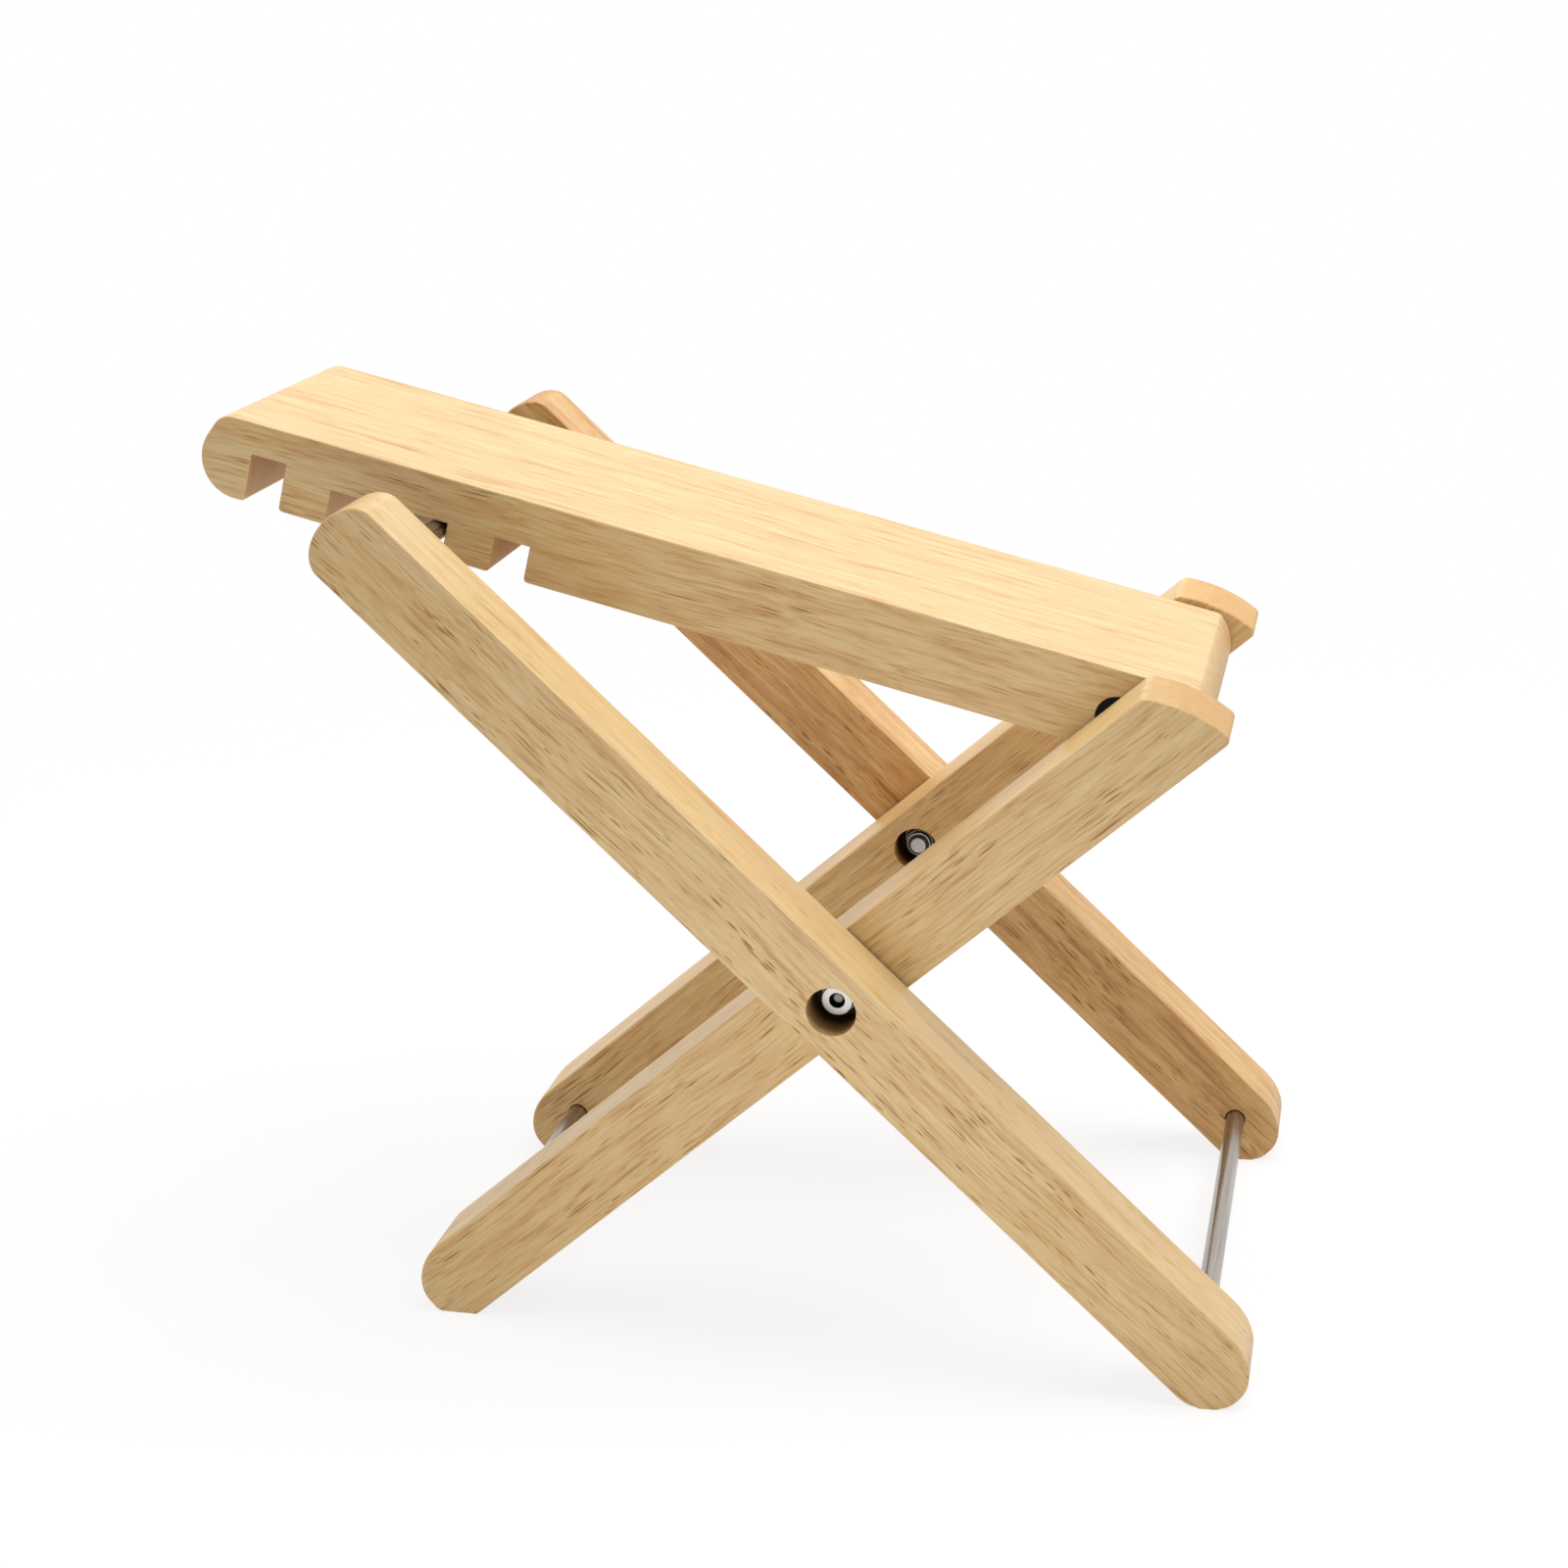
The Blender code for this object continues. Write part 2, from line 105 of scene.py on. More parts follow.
def rubberwood(name, tilt, shift, tones, marks, bore):
    """Rubberwood under satin lacquer, with its grain along a board that is tilted about Y.

    A straw ground with soft bands in four tones, fine darker lines, and brown vessel lines that show as
    dashes along the grain, each kind given as its length, width, share and depth of tone. A bore, given as
    its radius and where its painted shade starts and is full, is painted darker the deeper it goes: painted
    shade inside the hole.
    """
    material = bpy.data.materials.new(name)
    material.use_nodes = True
    tree = material.node_tree
    shader = tree.nodes["Principled BSDF"]
    where = add_node(material, "ShaderNodeTexCoord")
    # Millimetres, X along the grain
    grain = add_node(material, "ShaderNodeMapping", inputs={
        "Vector": where.outputs["Object"], "Location": shift, "Rotation": (0.0, -tilt, 0.0),
        "Scale": (1000.0, 1000.0, 1000.0)})
    # The grain wanders sideways by a few millimetres along 45 mm of board
    wander = add_node(material, "ShaderNodeVectorMath", {"operation": "MULTIPLY"}, {
        0: grain.outputs["Vector"], 1: (1 / 45, 1 / 30, 1 / 30)})
    drift = add_node(material, "ShaderNodeTexNoise", inputs={
        "Vector": wander.outputs["Vector"], "Scale": 1.0, "Detail": 2.0})
    centred = add_node(material, "ShaderNodeVectorMath", {"operation": "SUBTRACT"}, {
        0: drift.outputs["Color"], 1: (0.5, 0.5, 0.5)})
    sway = add_node(material, "ShaderNodeVectorMath", {"operation": "MULTIPLY"}, {
        0: centred.outputs["Vector"], 1: (0.0, 4.0, 4.0)})
    fibre_place = add_node(material, "ShaderNodeVectorMath", {"operation": "ADD"}, {
        0: grain.outputs["Vector"], 1: sway.outputs["Vector"]})
    # Which way the surface faces on the board: X is an end, Z the upper or lower face
    turned = add_node(material, "ShaderNodeMapping", {"vector_type": "NORMAL"}, {
        "Vector": where.outputs["Normal"], "Rotation": (0.0, -tilt, 0.0)})
    facing = add_node(material, "ShaderNodeSeparateXYZ", inputs={"Vector": turned.outputs["Vector"]})
    upward = add_node(material, "ShaderNodeMath", {"operation": "ABSOLUTE"}, {0: facing.outputs["Z"]})
    endward = add_node(material, "ShaderNodeMath", {"operation": "ABSOLUTE"}, {0: facing.outputs["X"]})
    end_share = add_node(material, "ShaderNodeMapRange", inputs={
        "Value": endward.outputs["Value"], "From Min": 0.35, "From Max": 0.9})
    # Vessels lie open on the side faces and show most there, less on the upper face and little on the ends
    on_sides = add_node(material, "ShaderNodeMapRange", inputs={
        "Value": upward.outputs["Value"], "To Min": 1.0, "To Max": 0.28})
    off_ends = add_node(material, "ShaderNodeMapRange", inputs={
        "Value": end_share.outputs["Result"], "To Min": 1.0, "To Max": 0.25})
    shown = add_node(material, "ShaderNodeMath", {"operation": "MULTIPLY"}, {
        0: on_sides.outputs["Result"], 1: off_ends.outputs["Result"]})
    # Soft bands about 2.5 mm wide and 24 mm long
    broad_place = add_node(material, "ShaderNodeVectorMath", {"operation": "MULTIPLY"}, {
        0: fibre_place.outputs["Vector"], 1: (1 / 24, 1 / 2.5, 1 / 2.5)})
    broad = add_node(material, "ShaderNodeTexNoise", inputs={
        "Vector": broad_place.outputs["Vector"], "Scale": 1.0, "Detail": 4.0, "Roughness": 0.6})
    ground = add_node(material, "ShaderNodeValToRGB", inputs={"Fac": broad.outputs["Fac"]})
    ramp_stops(ground, [(place, linear(tone)) for place, tone in zip((0.30, 0.45, 0.58, 0.72), tones)])
    # Fine lines about 0.6 mm apart and 14 mm long, a little coarser than real fibres so that they show
    fine_place = add_node(material, "ShaderNodeVectorMath", {"operation": "MULTIPLY"}, {
        0: fibre_place.outputs["Vector"], 1: (1 / 14, 1 / 0.6, 1 / 0.6)})
    fine = add_node(material, "ShaderNodeTexNoise", inputs={
        "Vector": fine_place.outputs["Vector"], "Scale": 1.0, "Detail": 3.0, "Roughness": 0.6})
    line_tone = add_node(material, "ShaderNodeValToRGB", inputs={"Fac": fine.outputs["Fac"]})
    ramp_stops(line_tone, [(0.28, linear("#dcc5a8")), (0.42, linear("#f4ebdf")), (0.56, linear("#ffffff"))])
    lines = add_node(material, "ShaderNodeMix", {"data_type": "RGBA", "blend_type": "MULTIPLY"}, {
        "Factor": shown.outputs["Value"], 6: ground.outputs["Color"], 7: line_tone.outputs["Color"]})
    # Vessels are closer in some zones than in others
    zone_place = add_node(material, "ShaderNodeVectorMath", {"operation": "MULTIPLY"}, {
        0: fibre_place.outputs["Vector"], 1: (1 / 26, 1 / 5, 1 / 5)})
    zone = add_node(material, "ShaderNodeTexNoise", inputs={
        "Vector": zone_place.outputs["Vector"], "Scale": 1.0, "Detail": 1.0})
    reach = add_node(material, "ShaderNodeMapRange", inputs={
        "Value": zone.outputs["Fac"], "From Min": 0.34, "From Max": 0.62, "To Min": 0.12, "To Max": 0.46})
    colour = lines.outputs[2]
    bare = None
    for length, width, share, strength in marks:
        dash_place = add_node(material, "ShaderNodeVectorMath", {"operation": "MULTIPLY"}, {
            0: fibre_place.outputs["Vector"], 1: (1 / length, 1 / width, 1 / width)})
        cells = add_node(material, "ShaderNodeTexVoronoi", {"feature": "F1"}, {
            "Vector": dash_place.outputs["Vector"], "Scale": 1.0, "Randomness": 1.0})
        lot = add_node(material, "ShaderNodeSeparateColor", inputs={"Color": cells.outputs["Color"]})
        chosen = add_node(material, "ShaderNodeMath", {"operation": "LESS_THAN"}, {
            0: lot.outputs["Red"], 1: share})
        spread = add_node(material, "ShaderNodeMapRange", inputs={
            "Value": lot.outputs["Green"], "To Min": 0.4, "To Max": 1.0})
        size = add_node(material, "ShaderNodeMath", {"operation": "MULTIPLY"}, {
            0: reach.outputs["Result"], 1: spread.outputs["Result"]})
        inside = add_node(material, "ShaderNodeMath", {"operation": "SUBTRACT"}, {
            0: size.outputs["Value"], 1: cells.outputs["Distance"]})
        soft = add_node(material, "ShaderNodeMapRange", inputs={
            "Value": inside.outputs["Value"], "From Min": -0.04, "From Max": 0.19})
        mark = add_node(material, "ShaderNodeMath", {"operation": "MULTIPLY"}, {
            0: soft.outputs["Result"], 1: chosen.outputs["Value"]})
        deepness = add_node(material, "ShaderNodeMapRange", inputs={
            "Value": lot.outputs["Blue"], "To Min": 0.35 * strength, "To Max": strength})
        toned = add_node(material, "ShaderNodeMath", {"operation": "MULTIPLY"}, {
            0: mark.outputs["Value"], 1: deepness.outputs["Result"]})
        stain = add_node(material, "ShaderNodeMath", {"operation": "MULTIPLY"}, {
            0: toned.outputs["Value"], 1: shown.outputs["Value"]})
        darker = add_node(material, "ShaderNodeMix", {"data_type": "RGBA"}, {
            "Factor": stain.outputs["Value"], 6: colour, 7: linear(vessel_brown)})
        colour = darker.outputs[2]
        if bare:
            either = add_node(material, "ShaderNodeMath", {"operation": "MAXIMUM"}, {
                0: bare, 1: mark.outputs["Value"]})
            bare = either.outputs["Value"]
        else:
            bare = mark.outputs["Value"]
    # End grain cuts across the bands, so it is more even, and it drinks lacquer, so it is deeper and pinker
    even_share = add_node(material, "ShaderNodeMath", {"operation": "MULTIPLY"}, {
        0: end_share.outputs["Result"], 1: 0.55})
    evened = add_node(material, "ShaderNodeMix", {"data_type": "RGBA"}, {
        "Factor": even_share.outputs["Value"], 6: colour, 7: linear(tones[2])})
    end_grain = add_node(material, "ShaderNodeMix", {"data_type": "RGBA", "blend_type": "MULTIPLY"}, {
        "Factor": end_share.outputs["Result"], 6: evened.outputs[2], 7: linear(end_grain_tint)})
    colour = end_grain.outputs[2]
    # Painted shade inside the bore, darker the deeper it goes
    if bore:
        radius, bore_shade_start, bore_shade_full = bore
        beside = add_node(material, "ShaderNodeVectorMath", {"operation": "MULTIPLY"}, {
            0: where.outputs["Object"], 1: (1.0, 0.0, 1.0)})
        out = add_node(material, "ShaderNodeVectorMath", {"operation": "DISTANCE"}, {
            0: beside.outputs["Vector"], 1: crossing})
        within = add_node(material, "ShaderNodeMath", {"operation": "LESS_THAN"}, {
            0: out.outputs["Value"], 1: radius + hair})
        raw = add_node(material, "ShaderNodeMath", {"operation": "MAXIMUM"}, {
            0: bare, 1: within.outputs["Value"]})
        bare = raw.outputs["Value"]
        place = add_node(material, "ShaderNodeSeparateXYZ", inputs={"Vector": where.outputs["Object"]})
        sideways = add_node(material, "ShaderNodeMath", {"operation": "ABSOLUTE"}, {0: place.outputs["Y"]})
        depth = add_node(material, "ShaderNodeMapRange", inputs={
            "Value": sideways.outputs["Value"], "From Min": bore_shade_start, "From Max": bore_shade_full,
            "To Max": 0.9})
        painted_bore_shade = add_node(material, "ShaderNodeMath", {"operation": "MULTIPLY"}, {
            0: depth.outputs["Result"], 1: within.outputs["Value"]})
        bore_shaded = add_node(material, "ShaderNodeMix", {"data_type": "RGBA"}, {
            "Factor": painted_bore_shade.outputs["Value"], 6: colour, 7: linear(bore_shade_brown)})
        colour = bore_shaded.outputs[2]
    tree.links.new(colour, shader.inputs["Base Color"])
    # Lacquer lies a little rough over the fibres, is thin on the sawn ends and missing in vessels and bores
    gloss = add_node(material, "ShaderNodeMapRange", inputs={
        "Value": fine.outputs["Fac"], "To Min": 0.42, "To Max": 0.58})
    tree.links.new(gloss.outputs["Result"], shader.inputs["Roughness"])
    coat = add_node(material, "ShaderNodeMapRange", inputs={
        "Value": end_share.outputs["Result"], "To Min": 0.42, "To Max": 0.2})
    closed = add_node(material, "ShaderNodeMath", {"operation": "SUBTRACT"}, {0: 1.0, 1: bare})
    unbroken = add_node(material, "ShaderNodeMath", {"operation": "MULTIPLY"}, {
        0: coat.outputs["Result"], 1: closed.outputs["Value"]})
    tree.links.new(unbroken.outputs["Value"], shader.inputs["Coat Weight"])
    tree.links.new(unbroken.outputs["Value"], shader.inputs["Specular IOR Level"])
    relief = add_node(material, "ShaderNodeMath", {"operation": "SUBTRACT"}, {
        0: fine.outputs["Fac"], 1: bare})
    bump = add_node(material, "ShaderNodeBump", inputs={
        "Height": relief.outputs["Value"], "Strength": 0.1, "Distance": 0.00004})
    tree.links.new(bump.outputs["Normal"], shader.inputs["Normal"])
    shader.inputs["IOR"].default_value = 1.5
    shader.inputs["Coat Roughness"].default_value = 0.4
    return material


def on_board(pivot, tilt, along, up, across):
    """A place on a tilted board: along it from its pivot, up from its middle line, across the footrest."""
    return Vector((pivot.x + along * math.cos(tilt) + up * math.sin(tilt), across,
                   pivot.z - along * math.sin(tilt) + up * math.cos(tilt)))


def sawn_board(name, pivot, tilt, across, thickness, discs):
    """A board marked out with discs, cut to their hull and sawn flat at the floor.

    A disc is its place along and up the board and its two radii.
    """
    bpy.ops.object.select_all(action="DESELECT")
    for i, (along, up, long_radius, tall_radius) in enumerate(discs):
        bpy.ops.mesh.primitive_cylinder_add(
            vertices=96, radius=1.0, depth=thickness, location=on_board(pivot, tilt, along, up, across),
            rotation=(math.pi / 2, tilt, 0.0), scale=(long_radius, tall_radius, 1.0))
        if i == 0:
            board = bpy.context.object
            board.name = name
            board.data.name = name
            bpy.ops.object.transform_apply(location=True, rotation=True, scale=True)
            bpy.ops.object.mode_set(mode="EDIT")
    bpy.ops.mesh.select_all(action="SELECT")
    bpy.ops.mesh.convex_hull(join_triangles=False)
    bpy.ops.mesh.select_all(action="SELECT")
    bpy.ops.mesh.dissolve_limited(angle_limit=math.radians(0.2))
    bpy.ops.mesh.select_all(action="SELECT")
    bpy.ops.mesh.bisect(plane_co=(0.0, 0.0, 0.0), plane_no=(0.0, 0.0, 1.0), use_fill=True, clear_inner=True)
    bpy.ops.object.mode_set(mode="OBJECT")
    return board


def round_edges(piece, radius, steps, chosen):
    """Round the edges whose two ends pass a test."""
    bpy.ops.object.select_all(action="DESELECT")
    piece.select_set(True)
    bpy.context.view_layer.objects.active = piece
    bpy.ops.object.mode_set(mode="EDIT")
    bpy.ops.mesh.select_mode(type="EDGE")
    bpy.ops.mesh.select_all(action="DESELECT")
    bpy.ops.object.mode_set(mode="OBJECT")
    corners = piece.data.vertices
    for edge in piece.data.edges:
        edge.select = chosen(corners[edge.vertices[0]].co, corners[edge.vertices[1]].co)
    bpy.ops.object.mode_set(mode="EDIT")
    bpy.ops.mesh.bevel(offset=radius, segments=steps, profile=0.5)
    bpy.ops.object.mode_set(mode="OBJECT")


def on_faces(low, high):
    """A test for edges that lie in one of two faces across the footrest."""
    def lies(a, b):
        return abs(a.y - b.y) < touching and min(abs(a.y - low), abs(a.y - high)) < touching
    return lies


def cut(piece, cutter, how="DIFFERENCE"):
    """Cut a piece with a solid, which is used up."""
    tool = piece.modifiers.new("cut", "BOOLEAN")
    tool.operation = how
    tool.solver = "EXACT"
    tool.object = cutter
    bpy.ops.object.select_all(action="DESELECT")
    bpy.context.view_layer.objects.active = piece
    bpy.ops.object.modifier_apply(modifier="cut")
    bpy.data.objects.remove(cutter)


def drill(piece, radius, place, start, end, sides=64):
    """A hole along Y between two depths."""
    bpy.ops.object.select_all(action="DESELECT")
    bpy.ops.mesh.primitive_cylinder_add(
        vertices=sides, radius=radius, depth=abs(end - start),
        location=(place.x, (start + end) / 2, place.z), rotation=(math.pi / 2, 0.0, 0.0))
    cut(piece, bpy.context.object)


def other_side(piece, name):
    """A copy with its own mesh, mirrored across the middle of the footrest."""
    bpy.ops.object.select_all(action="DESELECT")
    piece.select_set(True)
    bpy.context.view_layer.objects.active = piece
    bpy.ops.object.duplicate()
    copy = bpy.context.object
    copy.name = name
    copy.data.name = name
    copy.scale = (1.0, -1.0, 1.0)
    bpy.ops.object.transform_apply(location=True, rotation=True, scale=True)
    bpy.ops.object.mode_set(mode="EDIT")
    bpy.ops.mesh.select_all(action="SELECT")
    bpy.ops.mesh.normals_make_consistent(inside=False)
    bpy.ops.object.mode_set(mode="OBJECT")
    return copy


def fit(piece, material, body, slot, *nodes):
    """Finish a piece: even shading, its material, the body it moves with and the solids it stands for."""
    bpy.ops.object.select_all(action="DESELECT")
    piece.select_set(True)
    bpy.context.view_layer.objects.active = piece
    bpy.ops.object.shade_smooth_by_angle(angle=math.radians(35))
    even = piece.modifiers.new("even", "WEIGHTED_NORMAL")
    even.keep_sharp = True
    bpy.ops.object.modifier_apply(modifier="even")
    piece.data.materials.clear()
    piece.data.materials.append(material)
    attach(piece, body)
    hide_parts(*nodes)


inner_bore = (counterbore_radius, inner_leg_inside + inner_bore_shade_start, inner_leg_inside + inner_bore_shade_full)
inner_marks = ((20.0, 0.55, 0.6, 0.95), (9.0, 0.6, 0.5, 0.85))
near_inner_wood = rubberwood(
    "rubberwood_inner_leg_left", inner_tilt, (13.0, 0.0, 4.0),
    ("#dcc08b", "#d8b982", "#d5b179", "#c79d65"), inner_marks, inner_bore)
# The far inner leg is the same rubberwood in lighter tones: painted light, making up for the shade its face
# stands in
far_inner_wood_lightened = rubberwood(
    "rubberwood_inner_leg_right_lightened", inner_tilt, (70.0, 0.0, 21.0),
    ("#e9ca90", "#e5c185", "#e0b77a", "#d4a56b"), inner_marks, inner_bore)
inner_leg_outside = inner_leg_inside + inner_leg_thickness
inner_leg_middle = (inner_leg_inside + inner_leg_outside) / 2
# The foot's round and its two corners, then the tip's upper corner, its swelling slope and its point
tip_slope = (
    (0.09845, 0.00496), (0.10008, 0.00240), (0.1017, -0.00086), (0.10296, -0.00414), (0.10346, -0.00598))
inner_discs = [
    (-0.1297, 0.0, 0.0130, 0.0100),
    (-0.1395, -0.0020, 0.0032, 0.0032),
    (-0.13433, -0.0085, 0.0015, 0.0015),
    (0.0960, 0.0072, 0.0028, 0.0028),
    *[(along, up, tip_slope_round, tip_slope_round) for along, up in tip_slope],
    (0.1044, -0.00822, 0.00178, 0.00178),
]
inner_leg = sawn_board(
    "inner_board_left", crossing, inner_tilt, -inner_leg_middle, inner_leg_thickness, inner_discs)
round_edges(inner_leg, leg_edge_round, steps=3, chosen=on_faces(-inner_leg_inside, -inner_leg_outside))
for reach in (hinge_reach, -inner_stretcher_reach):
    rod_place = on_board(crossing, inner_tilt, reach, 0.0, 0.0)
    drill(inner_leg, rod_hole_radius, rod_place, overrun - inner_leg_inside,
          -inner_leg_inside - inner_socket_depth)
drill(inner_leg, bolt_hole_radius, crossing, -inner_leg_inside, -inner_leg_outside - overrun)
drill(inner_leg, counterbore_radius, crossing, overrun - inner_leg_inside,
      -inner_leg_inside - nut_counterbore_depth)
inner_leg_pair = other_side(inner_leg, "inner_board_right")
fit(inner_leg, near_inner_wood, "inner_frame", "pale_hardwood", "inner_leg_left")
fit(inner_leg_pair, far_inner_wood_lightened, "inner_frame", "pale_hardwood", "inner_leg_right")

# Outer legs. Longer and thinner rubberwood boards with fully rounded ends, drilled for the support rod and
# the outer stretcher, and counterbored on the outside for the bolt head.
outer_tilt = math.radians(44.81036634)
outer_leg_inside = 0.05795
outer_leg_thickness = 0.0180
support_rod_reach = 0.1423
support_rod_offset = 0.0010
outer_stretcher_reach = 0.1165
head_counterbore_depth = 0.0124
outer_socket_depth = 0.0110
# Where the painted shade inside the head's counterbore starts and is full, out from the middle
outer_bore_shade_start = 0.0746
outer_bore_shade_full = 0.0670
outer_bore = (counterbore_radius, outer_bore_shade_start, outer_bore_shade_full)
outer_marks = ((6.0, 0.7, 0.75, 0.95), (16.0, 0.6, 0.5, 0.9))
near_outer_wood = rubberwood(
    "rubberwood_outer_leg_left", outer_tilt, (41.0, 7.0, 0.0),
    ("#dbc08d", "#d7b984", "#d4b17b", "#c49a64"), outer_marks, outer_bore)
# The far outer leg is the same rubberwood in darker, more orange tones: painted shade, warm with light
# bounced between the boards
far_outer_wood_bounce_shaded = rubberwood(
    "rubberwood_outer_leg_right_bounce_shaded", outer_tilt, (9.0, 31.0, 17.0),
    ("#ddbb82", "#d5ab6d", "#c9995a", "#ad7d4a"), outer_marks, outer_bore)
outer_leg_outside = outer_leg_inside + outer_leg_thickness
outer_leg_middle = (outer_leg_inside + outer_leg_outside) / 2
# The round top, then the foot's round and the two smaller ones that fill out its lower corner
outer_discs = [
    (-0.1512, 0.0, 0.0070, 0.0100),
    (0.11669, 0.0, 0.0130, 0.0100),
    (0.12365, -0.0012, 0.0060, 0.0060),
    (0.12005, -0.0020, 0.0080, 0.0080),
]
outer_leg = sawn_board(
    "outer_board_left", crossing, outer_tilt, -outer_leg_middle, outer_leg_thickness, outer_discs)
round_edges(outer_leg, leg_edge_round, steps=3, chosen=on_faces(-outer_leg_inside, -outer_leg_outside))
for reach, offset in ((-support_rod_reach, support_rod_offset), (outer_stretcher_reach, 0.0)):
    rod_place = on_board(crossing, outer_tilt, reach, offset, 0.0)
    drill(outer_leg, rod_hole_radius, rod_place, overrun - outer_leg_inside,
          -outer_leg_inside - outer_socket_depth)
drill(outer_leg, bolt_hole_radius, crossing, overrun - outer_leg_inside, -outer_leg_outside)
drill(outer_leg, counterbore_radius, crossing, -outer_leg_outside - overrun,
      head_counterbore_depth - outer_leg_outside)
outer_leg_pair = other_side(outer_leg, "outer_board_right")
fit(outer_leg, near_outer_wood, "outer_frame", "pale_hardwood", "outer_leg_left")
fit(outer_leg_pair, far_outer_wood_bounce_shaded, "outer_frame", "pale_hardwood", "outer_leg_right")

# Foot plate. One wide rubberwood board with a bull-nosed high end and a low end rounded about the hinge,
# which leaves a soft arris across both faces. Notches for the support rod are sawn across its underside,
# and each edge is drilled with a shallow recess for a buffer.
plate_tilt = math.radians(15.412685534)
hinge = joint_places["plate_lift"]
plate_side = 0.0362
plate_half_thickness = 0.0098
plate_edge_round = 0.0005
nose_place = 0.2254
shoulder_place = 0.2286
shoulder_radius = 0.0049
low_end_radius = 0.0119
low_end_arris_round = 0.0012
touching_on_slope = 1e-5
notch_width = 0.0086
notch_depth = 0.0087
notch_spacing = 0.0207
rod_notch_place = 0.17683996
storage_notch_depth = 0.0118
storage_notch_place = 0.2183
notch_mouth_height = 0.0010
saw_overrun = 0.0050
tooth_round = 0.0011
notches = [(storage_notch_place, storage_notch_depth)]
for step in (1, 0, -1):
    notches.append((rod_notch_place + step * notch_spacing, notch_depth))
hinge_hole_radius = 0.00262
buffer_reach = 0.0093
buffer_drop = 0.0014
buffer_place = on_board(hinge, plate_tilt, -buffer_reach, -buffer_drop, 0.0)
buffer_recess_radius = 0.00495
buffer_recess_depth = 0.0040
plate_marks = ((12.0, 0.65, 0.45, 0.75), (26.0, 0.6, 0.4, 0.7))
plate_wood = rubberwood(
    "rubberwood_plate", plate_tilt, (-20.0, 3.0, 11.0),
    ("#dfc693", "#dbbd88", "#d7b37d", "#c69960"), plate_marks, None)
# The nose, the smaller round that fills out its upper shoulder, and the low end
plate_discs = [
    (-nose_place, 0.0, plate_half_thickness, plate_half_thickness),
    (-shoulder_place, plate_half_thickness - shoulder_radius, shoulder_radius, shoulder_radius),
    (0.0, 0.0, low_end_radius, low_end_radius),
]
plate = sawn_board("foot_board", hinge, plate_tilt, 0.0, 2 * plate_side, plate_discs)
bpy.ops.object.mode_set(mode="EDIT")
for side in (1, -1):
    bpy.ops.mesh.select_all(action="SELECT")
    bpy.ops.mesh.bisect(
        plane_co=on_board(hinge, plate_tilt, 0.0, side * plate_half_thickness, 0.0),
        plane_no=(side * math.sin(plate_tilt), 0.0, side * math.cos(plate_tilt)),
        use_fill=True, clear_outer=True, threshold=touching)
bpy.ops.object.mode_set(mode="OBJECT")


def on_plate(place):
    """How far a place lies along the plate from the hinge, and up from its middle line."""
    from_hinge = place - hinge
    along = from_hinge.x * math.cos(plate_tilt) - from_hinge.z * math.sin(plate_tilt)
    up = from_hinge.x * math.sin(plate_tilt) + from_hinge.z * math.cos(plate_tilt)
    return along, up


def low_end_arris(a, b):
    """A test for the edges where the low end's round meets the plate's two faces."""
    for along, up in (on_plate(a), on_plate(b)):
        if along < 0.0 or abs(abs(up) - plate_half_thickness) > touching_on_slope:
            return False
    return abs(a.y - b.y) > plate_side


round_edges(plate, low_end_arris_round, steps=3, chosen=low_end_arris)
notch_walls = []
for middle, depth in notches:
    bpy.ops.object.select_all(action="DESELECT")
    bpy.ops.mesh.primitive_cube_add(
        size=1.0, rotation=(0.0, plate_tilt, 0.0),
        location=on_board(hinge, plate_tilt, -middle, depth / 2 - plate_half_thickness - overrun, 0.0),
        scale=(notch_width, 2 * (plate_side + saw_overrun), depth + 2 * overrun))
    cut(plate, bpy.context.object)
    notch_walls += [middle - notch_width / 2, middle + notch_width / 2]


def notch_mouth(a, b):
    """A test for the edges where a notch opens in the underside."""
    for along, up in (on_plate(a), on_plate(b)):
        at_wall = min(abs(along + wall) for wall in notch_walls) < touching_on_slope
        if not at_wall or up > notch_mouth_height - plate_half_thickness:
            return False
    return abs(a.y - b.y) > plate_side


round_edges(plate, tooth_round, steps=4, chosen=notch_mouth)
round_edges(plate, plate_edge_round, steps=3, chosen=on_faces(-plate_side, plate_side))
drill(plate, hinge_hole_radius, hinge, -plate_side - overrun, plate_side + overrun)
drill(plate, buffer_recess_radius, buffer_place, -plate_side - overrun, buffer_recess_depth - plate_side)
drill(plate, buffer_recess_radius, buffer_place, plate_side + overrun, plate_side - buffer_recess_depth)
fit(plate, plate_wood, "plate", "pale_hardwood", "foot_plate")

# Steel rods. Four lengths of drawn 5 mm rod with chamfered ends, pressed into blind holes in the legs: the
# hinge, the inner stretcher, the support rod that the notches rest on, and the outer stretcher.
rod_radius = 0.0025
rod_end_gap = 0.00025
rod_chamfer = 0.0005


